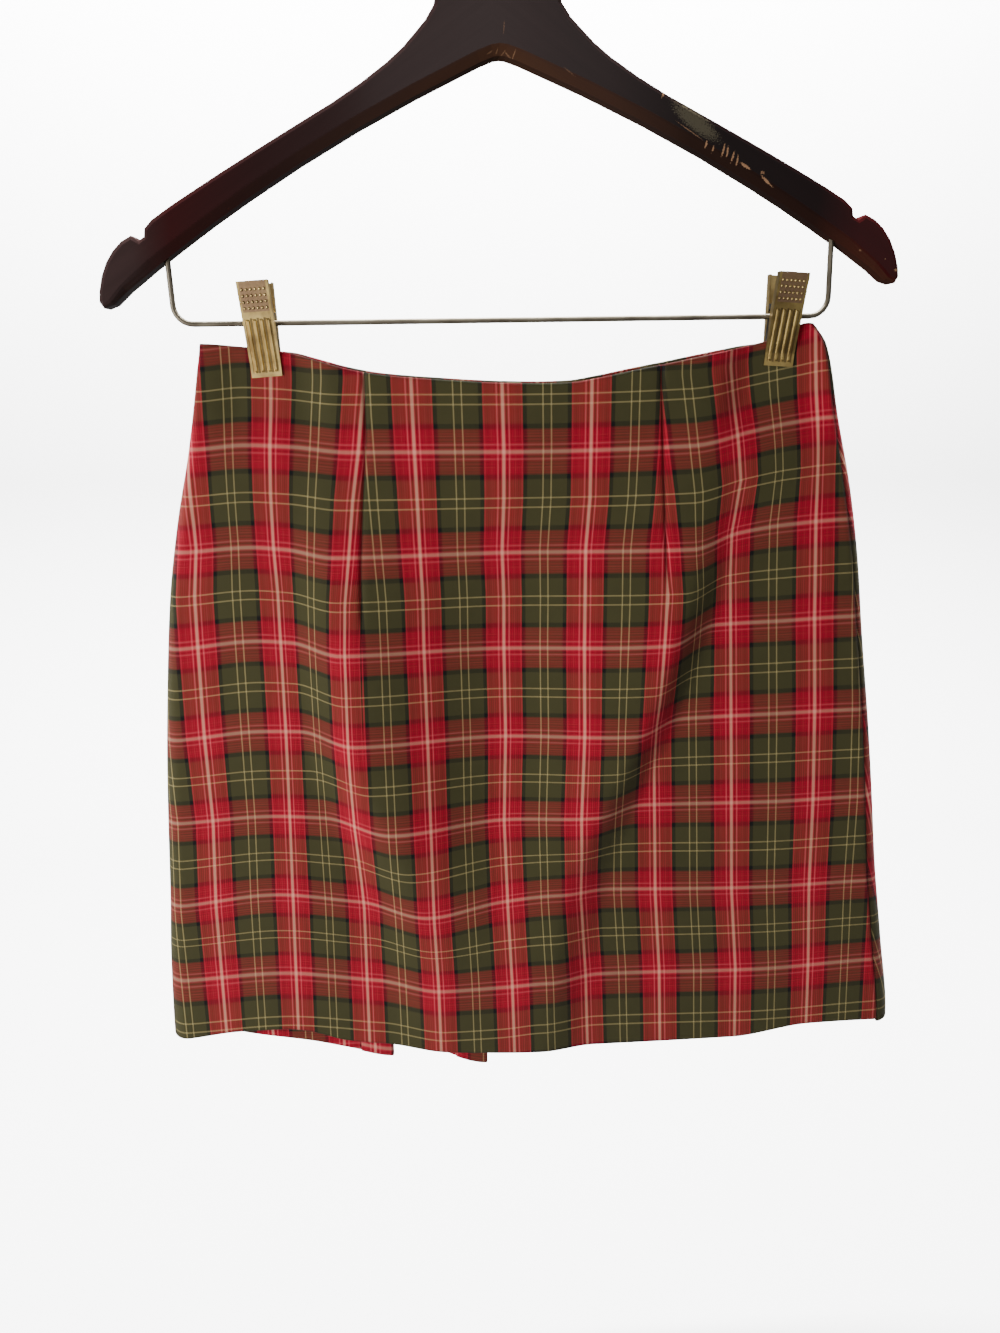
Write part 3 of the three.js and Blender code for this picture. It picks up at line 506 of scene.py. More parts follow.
FLUFF_SCALE, FLUFF_HEIGHT = 1400, 0.6
CLOTH_ROUGH_SWING, CLOTH_ROUGH_BASE = 0.14, 0.78
NODES_IN_ROW = 8
NODE_STEP = 220


def add(tree, kind, **values):
    """A new node, laid out after the ones made before it."""
    node = tree.nodes.new(kind)
    row, step = divmod(len(tree.nodes), NODES_IN_ROW)
    node.location = (step * NODE_STEP, -row * NODE_STEP)
    for key, value in values.items():
        setattr(node, key, value)
    return node


def sums(tree, operation, *inputs):
    node = add(tree, "ShaderNodeMath", operation=operation)
    for value, socket in zip(inputs, node.inputs):
        feed(tree, value, socket)
    return node.outputs[0]


def blend(tree, below, above, share, kind="MIX"):
    """Two colours mixed, each given as a socket or a colour."""
    mix = add(tree, "ShaderNodeMix", data_type="RGBA", blend_type=kind)
    feed(tree, share, mix.inputs[0])
    feed(tree, below, mix.inputs[6])
    feed(tree, above, mix.inputs[7])
    return mix.outputs[2]


def noise(tree, place, scale, detail, roughness=0.5):
    cloud = add(tree, "ShaderNodeTexNoise")
    fill(tree, cloud, {"Vector": place, "Scale": scale, "Detail": detail, "Roughness": roughness})
    return cloud.outputs[0]


def relief(tree, height, strength, distance):
    bump = add(tree, "ShaderNodeBump")
    fill(tree, bump, {"Height": height, "Strength": strength, "Distance": distance})
    return bump.outputs[0]


def parts_of(tree, vector):
    split = add(tree, "ShaderNodeSeparateXYZ")
    tree.links.new(vector, split.inputs[0])
    return split.outputs


def fabric_place(tree):
    """Place on the flat cloth, across and down."""
    across, down, _ = parts_of(tree, add(tree, "ShaderNodeUVMap", uv_map="fabric").outputs[0])
    return across, down


def object_place(tree):
    return add(tree, "ShaderNodeTexCoord").outputs["Object"]


def new_group(name, ins, outs):
    group = bpy.data.node_groups.new(name, "ShaderNodeTree")
    for socket, kind, value in ins:
        made = group.interface.new_socket(socket, in_out="INPUT", socket_type=kind)
        if value is not None:
            made.default_value = value
    for socket in outs:
        group.interface.new_socket(socket, in_out="OUTPUT", socket_type="NodeSocketFloat")
    return group, add(group, "NodeGroupInput").outputs, add(group, "NodeGroupOutput")


def use_group(tree, group, values):
    node = add(tree, "ShaderNodeGroup", node_tree=group)
    fill(tree, node, values)
    return node.outputs


def yarn_order(tree, yarns, stretch, distance):
    """One half repeat of the yarns, from the cream line out to the middle of the green."""
    ramp = add(tree, "ShaderNodeValToRGB")
    ramp.color_ramp.interpolation = "CONSTANT"
    stops = ramp.color_ramp.elements
    stops.remove(stops[1])
    stops[0].color = (*yarns["cream"], 1)
    for at, name in [(at * stretch, name) for at, name in RED_BAND] + GREEN_BAND:
        stops.new(at).color = (*yarns[name], 1)
    tree.links.new(distance, ramp.inputs[0])
    return ramp.outputs[0]


def twill_group():
    """Which yarn lies on top at a place on the cloth, and how high it stands."""
    group, given, result = new_group(
        "twill_ribs",
        [("Across", "NodeSocketFloat", 0), ("Down", "NodeSocketFloat", 0), ("Rib", "NodeSocketFloat", 1.1)],
        ["Warp On Top", "Height"],
    )
    across, down = given["Across"], given["Down"]
    phase = sums(group, "DIVIDE", sums(group, "ADD", across, down), given["Rib"])
    wave = sums(group, "SINE", sums(group, "MULTIPLY", phase, 2 * math.pi))
    on_top = sums(group, "MULTIPLY_ADD", wave, WARP_SWING, WARP_SHARE)
    warp_wave = sums(group, "SINE", sums(group, "MULTIPLY", across, YARN_FINENESS))
    weft_wave = sums(group, "SINE", sums(group, "MULTIPLY", down, YARN_FINENESS))
    fine = sums(group, "MULTIPLY", warp_wave, weft_wave)
    height = sums(group, "MULTIPLY_ADD", fine, YARN_RELIEF, sums(group, "ABSOLUTE", wave))
    fill(group, result, {"Warp On Top": on_top, "Height": height})
    return group


TWILL = twill_group()


def tartan_cloth():
    finish, tree, shader = new_finish("tartan_wool_twill")
    across, down = fabric_place(tree)
    warp = yarn_order(tree, WARP_YARNS, 1.0, sums(tree, "PINGPONG", across, 0.5))
    weft = yarn_order(tree, WEFT_YARNS, WEFT_STRETCH, sums(tree, "PINGPONG", down, 0.5))
    on_top, height = use_group(tree, TWILL, {
        "Across": sums(tree, "MULTIPLY", across, WARP_REPEAT_MM),
        "Down": sums(tree, "MULTIPLY", down, WEFT_REPEAT_MM),
    })
    colour = blend(tree, weft, warp, on_top)
    where = object_place(tree)
    uneven = sums(tree, "MULTIPLY_ADD", noise(tree, where, UNEVEN_SCALE, 4), UNEVEN_SWING, UNEVEN_BASE)
    colour = blend(tree, colour, uneven, 1, "MULTIPLY")
    # Painted shade: the cloth colour is darkened along its cut edges and seams.
    painted_edge_shade = add(tree, "ShaderNodeAttribute", attribute_name="edge_shade").outputs["Fac"]
    painted_edge_shade = sums(tree, "MULTIPLY", painted_edge_shade, CREASE_MOST)
    fluff = noise(tree, where, FLUFF_SCALE, 3)
    height = sums(tree, "MULTIPLY_ADD", fluff, FLUFF_HEIGHT, height)
    fill(tree, shader, {
        "Base Color": blend(tree, colour, CREASE_SHADE, painted_edge_shade, "MULTIPLY"),
        "Roughness": sums(tree, "MULTIPLY_ADD", fluff, CLOTH_ROUGH_SWING, CLOTH_ROUGH_BASE),
        "Sheen Weight": 0.04,
        "Sheen Roughness": 0.5,
        "Specular IOR Level": 0.15,
        "Normal": relief(tree, height, 0.35, 0.0003),
    })
    return finish


TARTAN = tartan_cloth()


# Front panel: one piece of the tartan with a dart each side of the centre. The darts
# take cloth out at the waist, so the check no longer meets across their seams.
FRONT_WAIST = [
    (-160, -251.2), (-136, -252.7), (-113.5, -255.4), (-96.7, -259.7), (-80, -264.1), (-63, -267.1),
    (-45.7, -268.7), (-29, -269.8), (4, -271.5), (26, -271.8), (43, -271.3), (60, -268.6), (82, -264.1),
    (98.5, -261), (115, -257.6), (133, -254), (152, -249.7), (166, -244.4), (177, -239.3),
]
FRONT_HEM = [
    (-209, -682), (-165, -677.4), (-138, -676.7), (-122, -678.5), (-96, -686.5), (-65, -690.5),
    (-24, -693.8), (26, -696), (90, -696), (160, -695.4), (212, -687.5), (259, -686.4), (269, -688),
]
WEFT_LINES = [(38.9, 1), (95.6, 2), (152.1, 3), (206.4, 4), (259.9, 5), (313.4, 6), (374.5, 7), (426, 7.73)]
# Where the cream warp lines run down the front. The darts part the middle from the sides,
# so the line two repeats out has a place for each side of its dart.
WARP_LINES = table("drop l4 l3 l2 m2l l1 c0 r1 m2r r2 r3 r4", [
    (0, -170, -122, -70.5, -95, -45, 5, 55, 104.4, 82, 133.5, 183),
    (20, -170, -123, -73, -94.5, -44.5, 5.5, 55, 104.2, 85, 136.5, 184.5),
    (38, -169.5, -124, -75, -93.5, -44, 6, 55, 104, 87.5, 139, 186),
    (65, -169, -125, -79, -92, -43, 6, 55, 102.5, 92, 142, 187.5),
    (94, -168.5, -125, -82, -89.5, -42, 5, 53, 100, 98, 138, 188.5),
    (122, -171.5, -124, -85, -87, -41, 6, 53, 100, 100.5, 139, 190.5),
    (150, -172, -124, -86, -86, -41, 6, 53, 99, 99, 141, 192.5),
    (205, -172.5, -124, -86, -86, -40, 7, 54, 97, 97, 145, 197.5),
    (261, -171.5, -125, -85, -85, -39, 6, 53, 100, 100, 149, 201.5),
    (317, -174, -126, -82, -82, -38, 8, 54, 103, 103, 153, 204),
    (373, -174, -127, -82, -82, -36, 11, 59, 108, 108, 159, 208),
    (430, -174, -128, -82, -82, -35, 13, 62, 111, 111, 162, 211),
])
DART_LEFT = {"drop": [-20, 30, 60, 100, 135, 430], "x": [-70.5, -70.6, -73, -75.5, -76, -82], "tip": 135}
DART_RIGHT = {"drop": [-20, 0, 45, 84, 112, 430], "x": [93.5, 94, 96.3, 98.5, 100, 111], "tip": 112}
FRONT_WIDTH = 470.0
FRONT_COLUMNS = 200
FRONT_ROWS = 146
DART_SHARES = (0.28, 0.70)
DART_DIP = 0.9
DART_REACH = 1.6
DART_FADE_FROM = 8
DART_FADE = 0.12
HEM_RAMP = 1.5
EDGE_TURN = 12.0


def straight(places, values, at):
    """Straight runs between knots that may move from point to point, and beyond both ends."""
    p = [np.broadcast_to(np.asarray(place, float), at.shape) for place in places]
    out = values[0] + (at - p[0]) * (values[1] - values[0]) / (p[1] - p[0])
    for i in range(1, len(p) - 1):
        run = values[i] + (at - p[i]) * (values[i + 1] - values[i]) / (p[i + 1] - p[i])
        out = np.where(at > p[i], run, out)
    return out


def weft_place(drop):
    """Repeats of the check down the cloth."""
    return straight([at for at, _ in WEFT_LINES], [count for _, count in WEFT_LINES], drop)


def warp_place(x, drop, part):
    """Repeats of the check across the cloth, in one of the three parts between the darts."""
    knots = {
        "left": ("l4 l3 l2", (-4, -3, -2)),
        "middle": ("m2l l1 c0 r1 m2r", (-2, -1, 0, 1, 2)),
        "right": ("r2 r3 r4", (2, 3, 4)),
    }[part]
    lines = [np.interp(drop, WARP_LINES["drop"], WARP_LINES[name]) for name in knots[0].split()]
    return straight(lines, knots[1], x)


def right_seam_turn(drop):
    return turn_at(column(OUTLINE, "right", drop) - column(OUTLINE, "right_seam", drop), drop, True)


def front_turns(share, drop):
    """The way round the tube, for a share of the panel's width from seam to seam."""
    marks = [0, *DART_SHARES, 1]
    ends = [
        shift_turn(np.zeros(drop.shape), drop, SEAM_GAP / 2),
        turn_at(np.interp(drop, DART_LEFT["drop"], DART_LEFT["x"]), drop, True),
        turn_at(np.interp(drop, DART_RIGHT["drop"], DART_RIGHT["x"]), drop, True),
        shift_turn(right_seam_turn(drop), drop, -SEAM_GAP / 2),
    ]
    out = ends[0]
    for i in range(3):
        t = np.clip((share - marks[i]) / (marks[i + 1] - marks[i]), 0, 1)
        out = np.where(share >= marks[i], ends[i] * (1 - t) + ends[i + 1] * t, out)
    return out


def from_darts(middle, drop):
    """Distance from the nearer dart's seam, growing past its tip where it fades out."""
    out = np.full(drop.shape, NO_SEAM_NEAR)
    for dart in (DART_LEFT, DART_RIGHT):
        aside = np.abs(middle[..., 0] - np.interp(drop, dart["drop"], dart["x"]))
        past = np.maximum(0, drop - dart["tip"] + DART_FADE_FROM)
        out = np.minimum(out, np.hypot(aside, past * DART_FADE))
    return out


def hem_turning(drop):
    """Extra wall inside the foot, where the cloth is turned up and caught down."""
    return HEM_LAYER * smooth((drop - drop[-1] + HEM_DEPTH) / HEM_RAMP)


def round_the_edges(across, middle, drop):
    """Where the cloth turns at the side edges, the check keeps its spacing round the tube."""
    x = middle[..., 0]
    left, right = columns(OUTLINE, "left right", drop)
    inset = np.minimum(x - left, right - x)
    round_tube = np.diff(run_across(middle), axis=1) / WARP_REPEAT_MM
    step = np.where(inset[:, 1:] < EDGE_TURN, round_tube, np.diff(across, axis=1))
    total = np.concatenate([np.zeros((len(step), 1)), np.cumsum(step, 1)], 1)
    centre = slice(across.shape[1] // 2, across.shape[1] // 2 + 1)
    return total - total[:, centre] + across[:, centre]


def make_front():
    edge = share_with(FRONT_COLUMNS, FRONT_WIDTH, (0.0, *DART_SHARES, 1.0))
    waist = lambda x: cut_line(FRONT_WAIST, x)
    hem = lambda x: cut_line(FRONT_HEM, x)
    drop, middle = hang_panel(front_turns, waist, hem, edge, FRONT_ROWS)
    darts = from_darts(middle, drop)
    dip = DART_DIP * np.exp(-(darts / DART_REACH) ** 2)
    middle = middle - outward(middle) * dip[..., None]
    left, centre, right = (
        corners(round_the_edges(warp_place(middle[..., 0], drop, part), middle, drop))
        for part in ("left", "middle", "right")
    )
    between = ((edge[:-1] + edge[1:]) / 2)[None, :, None]
    across = np.where(between < DART_SHARES[0], left, centre)
    across = np.where(between > DART_SHARES[1], right, across)
    fabric = np.stack([across, corners(weft_place(drop))], -1)
    run = run_across(middle)
    seams = np.minimum(np.minimum(run, run[:, -1:] - run), darts)
    return cloth_piece(
        "front_panel_cloth", "front_panel", TARTAN,
        middle, drop, fabric, hem_turning(drop), seams,
    )


front_cloth = make_front()


# Back: three panels joined by two seams. Each seam is left open at its foot, where the
# outer panel ends in a pressed fold over the next panel's underlay: two kick pleats.
BACK_WAIST_RISE = 1.0
RISE_LEFT, RISE_RIGHT = -118, 152
RISE_RAMP = 14
HEM_RIGHT_SIDE = [(-209, -682), (-165, -694.5), (-122, -702), (-96, -708.5), (-68, -715)]
HEM_MIDDLE = [(-98, -698), (-68, -702.5), (-43, -710), (-4, -723.6)]
HEM_LEFT_SIDE = [(-34, -698), (-4, -704), (30, -706.5), (90, -705), (160, -700), (212, -693), (269, -688)]
OUTER_PLEAT_SEAM = [(-20, -58), (200, -63), (430, -68)]
CENTRE_SEAM = [(-20, 6), (200, 2), (430, -4)]
PLEAT_START = 318.0
PLEAT_RUN = 36.0
PLEAT_UNDERLAY = 28.0
PLEAT_SINK = 3.2
PLEAT_BLEND = 20.0
BACK_ROWS = 126
BACK_STEP = 2.6
SEAM_ALLOWANCE = 12.0
ZIP_ALLOWANCE = 1
PLEAT_RETURN = 22.0
ZIP_END = 200.0
ZIP_RAMP = 12
FOLD_TURN = 1.2
# How far along its reach the turned cloth is, and how deep under the face, step by step.
FOLD_STEPS = [
    (1.0, 1.5), (0.75, 1.5), (0.5, 1.5), (0.25, 1.5),
    (0.06, 1.5), (0.0, 1.3), (-0.01, 0.75), (0.0, 0.2),
]


def back_waist(x):
    risen = smooth((x - RISE_LEFT) / RISE_RAMP) * smooth((RISE_RIGHT - x) / RISE_RAMP)
    return cut_line(FRONT_WAIST, x) + BACK_WAIST_RISE * risen


def pleated(drop):
    """0 where the seam is sewn, 1 where the pleat has its full depth."""
    return smooth((drop - PLEAT_START) / PLEAT_RUN)


def underlay(drop):
    return PLEAT_UNDERLAY * pleated(drop)


def plain_reach(drop):
    return SEAM_ALLOWANCE + (PLEAT_RETURN - SEAM_ALLOWANCE) * pleated(drop)


def zip_reach(drop):
    """The same along the seam that holds the zip, where less is turned under."""
    sewn = (SEAM_ALLOWANCE - ZIP_ALLOWANCE) * smooth((drop - ZIP_END) / ZIP_RAMP)
    return ZIP_ALLOWANCE + sewn + (PLEAT_RETURN - SEAM_ALLOWANCE) * pleated(drop)


def pleat_sink(seam, x, drop):
    opened = smooth((drop - PLEAT_START + PLEAT_RUN) / PLEAT_RUN)
    return PLEAT_SINK * opened * smooth(1 - (x - cut_line(seam, drop)) / PLEAT_BLEND)


def back_seam(seam, drop, extra, length):
    return shift_turn(turn_at(cut_line(seam, drop) - extra, drop, False), drop, length)


def fold_under(middle, drop, reach):
    """Seam allowance and pleat return: the cloth turns under at its first column and runs
    back beneath itself as far as reach says, row by row."""
    run = run_across(middle)
    normal = outward(middle)
    lead = []
    for share, sunk in FOLD_STEPS:
        at = np.maximum(reach * share, 0)[:, 0]
        row = []
        for k in range(len(run)):
            place = [np.interp(at[k], run[k], middle[k, :, axis]) for axis in range(3)]
            face = [np.interp(at[k], run[k], normal[k, :, axis]) for axis in range(3)]
            row.append(np.array(place) - np.array(face) * sunk)
        lead.append(np.array(row))
    lead = np.stack(lead, 1)
    lead_run = -run_across(lead[:, ::-1])[:, ::-1] - FOLD_TURN
    return (
        np.concatenate([lead, middle], 1),
        np.concatenate([np.tile(drop[:, :1], (1, len(FOLD_STEPS))), drop], 1),
        np.concatenate([lead_run, run], 1),
    )


def make_back_panel(name, width, begin, end, hem, sunk, reach, repeat_at, from_end=None):
    """A back panel from its begin edge to its end edge. sunk is the seam it dips under, reach
    how far its begin edge turns under, repeat_at where the check starts along it."""
    edge = share_with(int(width / BACK_STEP), width, (0.0, 1.0))
    turns = lambda share, drop: begin(drop) * (1 - share) + end(drop) * share
    drop, middle = hang_panel(turns, back_waist, lambda x: cut_line(hem, x), edge, BACK_ROWS)
    if sunk:
        middle = middle - np.array([0, 1, 0]) * pleat_sink(sunk, middle[..., 0], drop)[..., None]
    run = run_across(middle)
    if reach:
        middle, drop, run = fold_under(middle, drop, reach(drop[:, :1]))
    along = run if from_end is None else run - run[:, -1:] + from_end(drop[:, -1:])
    repeat = repeat_at + along / WARP_REPEAT_MM
    fabric = np.stack([corners(repeat), corners(weft_place(drop))], -1)
    seams = np.where(run < 0, NO_SEAM_NEAR, np.minimum(run, run[:, -1:] - run))
    return cloth_piece(
        name + "_cloth", name + "_panel", TARTAN,
        middle, drop, fabric, hem_turning(drop), seams,
    )


back_right_cloth = make_back_panel(
    "back_right", 150,
    lambda drop: back_seam(OUTER_PLEAT_SEAM, drop, 0, SEAM_GAP / 2),
    lambda drop: shift_turn(np.full(drop.shape, 2.0), drop, -SEAM_GAP / 2),
    HEM_RIGHT_SIDE, None, plain_reach, 0.30,
)
back_middle_cloth = make_back_panel(
    "back_middle", 90,
    lambda drop: back_seam(CENTRE_SEAM, drop, 0, SEAM_GAP / 2),
    lambda drop: back_seam(OUTER_PLEAT_SEAM, drop, underlay(drop), -SEAM_GAP / 2),
    HEM_MIDDLE, OUTER_PLEAT_SEAM, zip_reach, 0.55,
)
back_left_cloth = make_back_panel(
    "back_left", 290,
    lambda drop: shift_turn(right_seam_turn(drop), drop, SEAM_GAP / 2),
    lambda drop: back_seam(CENTRE_SEAM, drop, underlay(drop), -SEAM_GAP / 2),
    HEM_LEFT_SIDE, CENTRE_SEAM, None, 0.42, underlay,
)


# Zip: a concealed zip sewn behind the centre seam of the back. A woven tape carries a
# nylon coil on its inner side; the steel slider and its pull lie outside, at the waist.
TAPE_WIDTH = 22.0
TAPE_LENGTH = 180.0
TAPE_THICK = 0.8
TAPE_DROP = 11.0
TAPE_RIB = 0.8
TAPE_OLIVE = (0.034, 0.036, 0.014)
TAPE_OLIVE_PALE = (0.052, 0.054, 0.024)
TAPE_ROWS, TAPE_COLUMNS = 61, 15
COIL_PITCH = 1.6
COIL_ACROSS = 4.2
COIL_THICK = 0.9
COIL_INSET = 4
COIL_FILL = 0.62
COIL_ROUNDING = 0.00022
SPECKS_SCALE, SPECKS_SWING, SPECKS_BASE = 600, 0.3, 0.25
BEHIND_CLOTH = CLOTH / 2 + SEAM_GAP
TURN_STEP = 0.003


def woven_tape():
    finish, tree, shader = new_finish("zip_tape_weave")
    across, down = fabric_place(tree)
    on_top, height = use_group(tree, TWILL, {"Across": across, "Down": down, "Rib": TAPE_RIB})
    fill(tree, shader, {
        "Base Color": blend(tree, TAPE_OLIVE, TAPE_OLIVE_PALE, on_top),
        "Roughness": 0.85,
        "Specular IOR Level": 0.15,
        "Normal": relief(tree, height, 0.5, 0.0003),
    })
    return finish


def coil_nylon():
    finish, tree, shader = new_finish("zip_coil_nylon")
    specks = add(tree, "ShaderNodeTexNoise")
    fill(tree, specks, {"Scale": SPECKS_SCALE})
    rough = sums(tree, "MULTIPLY_ADD", specks.outputs[0], SPECKS_SWING, SPECKS_BASE)
    fill(tree, shader, {"Base Color": TAPE_OLIVE, "Roughness": rough})
    return finish


def behind_seam(drop, aside, depth):
    """Points inside the tube at the centre seam, at a depth from the middle of the cloth."""
    turn = turn_at(cut_line(CENTRE_SEAM, drop) + aside, drop, False)
    place = ring_point(turn, drop)
    along = ring_point(turn + TURN_STEP, drop) - ring_point(turn - TURN_STEP, drop)
    down = ring_point(turn, drop + 1) - ring_point(turn, drop - 1)
    normal = -np.cross(along, down)
    return place - normal / np.linalg.norm(normal, axis=-1, keepdims=True) * depth


def shape_piece(name, shape, finish, node=None):
    """A piece from a shape built up corner by corner."""
    mesh = bpy.data.meshes.new(name)
    shape.to_mesh(mesh)
    shape.free()
    return hang_piece(name, mesh, finish, node)


def make_tape():
    drop, aside = np.meshgrid(
        np.linspace(TAPE_DROP, TAPE_DROP + TAPE_LENGTH, TAPE_ROWS),
        np.linspace(TAPE_WIDTH / 2, -TAPE_WIDTH / 2, TAPE_COLUMNS),
        indexing="ij",
    )
    middle = behind_seam(drop, aside, BEHIND_CLOTH + TAPE_THICK / 2)
    fabric = np.stack([corners(aside), corners(drop)], -1)
    tape = cloth_piece("zip_tape_weave", "zip_tape", woven_tape(), middle, drop, fabric)


def make_coil():
    shape = bmesh.new()
    depth = BEHIND_CLOTH + TAPE_THICK + COIL_THICK / 2
    for drop in np.arange(TAPE_DROP + COIL_INSET, TAPE_DROP + TAPE_LENGTH - COIL_INSET, COIL_PITCH):
        middle = Vector(behind_seam(np.array([drop]), np.zeros(1), depth)[0] / 1000)
        for point in bmesh.ops.create_cube(shape, size=0.001)["verts"]:
            x, y, z = point.co
            point.co = Vector((x * COIL_ACROSS, y * COIL_THICK, z * COIL_PITCH * COIL_FILL)) + middle
    bmesh.ops.bevel(shape, geom=shape.edges[:], offset=COIL_ROUNDING, segments=1, affect="EDGES")
    shape_piece("zip_coil", shape, coil_nylon())


make_tape()
make_coil()


# Hanger: a flat wooden hanger, sawn from one board, rounded at its edges, stained nearly
# black and lacquered. The lacquer has chipped along the lower edge of one arm.
GRAIN_SLOPE = math.radians(33)
STAIN_DARK = (0.0040, 0.0024, 0.0024)
PAINTED_SHEEN_STAIN = (0.0300, 0.0175, 0.0165)
STAIN_RED = (0.0360, 0.0035, 0.0040)
BARE_WOOD_AND_PAINTED_HIGHLIGHT = (0.230, 0.125, 0.068)
UNDERSIDE_BROWN = (0.046, 0.021, 0.012)
SCUFFED = (0.150, 0.130, 0.080)
# Along the board: how glossy the lacquer is and how far painted sheen pales it, how red
# the stain shows and how brown the lower edge and underside are made.
BOARD = table("x pale red brown", [
    (-215, 1.00, 0.00, 0.10),
    (-188, 0.85, 0.05, 0.10),
    (-168, 0.35, 0.48, 0.15),
    (-120, 0.40, 0.18, 0.20),
    (-60, 0.70, 0.05, 0.55),
    (0, 0.80, 0.00, 0.90),
    (60, 0.50, 0.00, 0.60),
    (105, 0.12, 0.00, 0.25),
    (175, 0.05, 0.08, 0.20),
    (200, 0.10, 0.65, 0.50),
])
BOARD_HALF = 215.0
GRAIN_STRETCH = (6, 120, 60)
UNDERSIDE = (-0.35, -0.65)
FACING_FRONT = -0.2
BOARD_FACE = -0.008
BOARD_ROUNDING = 0.0012
SOFT_EDGE_ANGLE = math.radians(28)
# One rubbed patch: place, half length, half width and turn against the arm.
SCUFF = (106.5, -140.6, 15.0, 4.2, 0)
SCUFF_DEPTH = 0.32
GRAIN_SWING, GRAIN_BASE = 0.7, 0.65
CHIP_REACH, CHIP_RAGGED, CHIP_HARDNESS = 3.0, 4.0, 2.0
WOOD_ROUGH_SWING, WOOD_ROUGH_BASE = 0.3, 0.55
GLOSS_SWING, GLOSS_BASE = 0.35, 0.12
GRAIN_RELIEF, SCUFF_RELIEF, CHIP_RELIEF = 0.4, -0.5, -0.8
# Chips and scratches in the lacquer, and one painted highlight line: half length, half width, turn against
# the arm, depth.
CHIPS = table("x z long wide turn bare", [
    # First row: a painted highlight, the bright line along the lower edge of the rubbed patch, drawn as
    # bare wood.
    (103.6, -144.9, 8.5, 0.3, 2, 0.55),
    (112.7, -150.7, 2.1, 0.5, 115, 0.9),
    (116.5, -153.0, 1.5, 0.42, 112, 0.8),
    (121.9, -153.7, 3.1, 0.55, 112, 1.0),
    (124.1, -154.4, 2.9, 0.55, 118, 1.0),
    (127.2, -156.5, 2.9, 0.55, 110, 1.0),
    (129.7, -158.4, 2.6, 0.5, 118, 0.9),
    (134.2, -161.2, 3.3, 0.75, 4, 1.0),
    (143.6, -164.3, 1.3, 0.9, 20, 0.7),
    (146.3, -168.3, 4.2, 0.6, -6, 0.9),
    (88.8, -127.8, 2.2, 0.55, 95, 0.6),
    (-1.1, -109.7, 1.8, 0.3, 60, 0.35),
    (2.5, -109.2, 1.7, 0.3, 100, 0.35),
    (5.5, -110.0, 2.0, 0.3, 80, 0.35),
    (8.6, -110.9, 3.0, 0.35, -8, 0.4),
    (11.1, -110.8, 2.6, 0.3, 100, 0.45),
    (6.0, -98.9, 3.4, 0.3, 118, 0.3),
    (39.4, -118.1, 3.6, 0.35, 0, 0.2),
    (221.6, -212.1, 1.2, 0.7, 40, 0.9),
    (214.9, -206.5, 0.5, 0.4, 0, 0.5),
    (201.0, -202.1, 0.8, 0.4, 0, 0.5),
])



def turned_part(group, place, middle, angle):
    """Across, out and up from a point to a place, with the slant of the piece taken out."""
    offset = add(group, "ShaderNodeVectorMath", operation="SUBTRACT")
    group.links.new(place, offset.inputs[0])
    group.links.new(middle, offset.inputs[1])
    turned = add(group, "ShaderNodeVectorRotate", rotation_type="Y_AXIS")
    fill(group, turned, {"Vector": offset.outputs[0], "Angle": angle})
    return parts_of(group, turned.outputs[0])


def chip_group():
    """How far the lacquer is gone at a place, for one chip in the lacquer; the same shape also draws the
    rubbed patch and the painted highlight line.
    """
    group, given, result = new_group(
        "lacquer_chip",
        [("Place", "NodeSocketVector", None), ("Middle", "NodeSocketVector", None),
         ("Length", "NodeSocketFloat", 0.005), ("Width", "NodeSocketFloat", 0.001),
         ("Slant", "NodeSocketFloat", 0)],
        ["Bare"],
    )
    lie = sums(group, "ADD", given["Slant"], -GRAIN_SLOPE)
    x, _, z = turned_part(group, given["Place"], given["Middle"], lie)
    along = sums(group, "DIVIDE", x, given["Length"])
    across = sums(group, "DIVIDE", z, given["Width"])
    far = sums(group, "ADD", sums(group, "MULTIPLY", along, along), sums(group, "MULTIPLY", across, across))
    ragged = noise(group, given["Place"], 1500, 3)
    edge = sums(group, "MULTIPLY_ADD", ragged, -CHIP_RAGGED, sums(group, "SUBTRACT", CHIP_REACH, far))
    torn = sums(group, "MAXIMUM", sums(group, "MULTIPLY", edge, CHIP_HARDNESS), 0)
    fill(group, result, {"Bare": sums(group, "MINIMUM", torn, 1)})
    return group


CHIP = chip_group()


def board_tones(tree, across_board):
    """Gloss with its painted sheen, redness and brown underside at a place along the board, from the table.
    """
    ramp = add(tree, "ShaderNodeValToRGB")
    stops = ramp.color_ramp.elements
    stops.remove(stops[1])
    for i, x in enumerate(BOARD["x"]):
        at = (x + BOARD_HALF) / (2 * BOARD_HALF)
        stop = stops[0] if i == 0 else stops.new(at)
        stop.position = at
        stop.color = (BOARD["pale"][i], BOARD["red"][i], BOARD["brown"][i], 1)
    share = sums(tree, "MULTIPLY_ADD", across_board, 1000 / (2 * BOARD_HALF), 0.5)
    tree.links.new(share, ramp.inputs[0])
    parts = add(tree, "ShaderNodeSeparateColor")
    tree.links.new(ramp.outputs[0], parts.inputs[0])
    return parts.outputs


def lacquer_mark(tree, place, x, z, long, wide, turn):
    return use_group(tree, CHIP, {
        "Place": place,
        "Middle": (x / 1000, BOARD_FACE, z / 1000),
        "Length": long / 1000,
        "Width": wide / 1000,
        "Slant": math.radians(turn),
    })[0]


def ranged(tree, value, zero_at, one_at):
    """0 at one value and 1 at the other, straight between and level beyond."""
    node = add(tree, "ShaderNodeMapRange")
    fill(tree, node, {"Value": value, "From Min": zero_at, "From Max": one_at})
    return node.outputs[0]


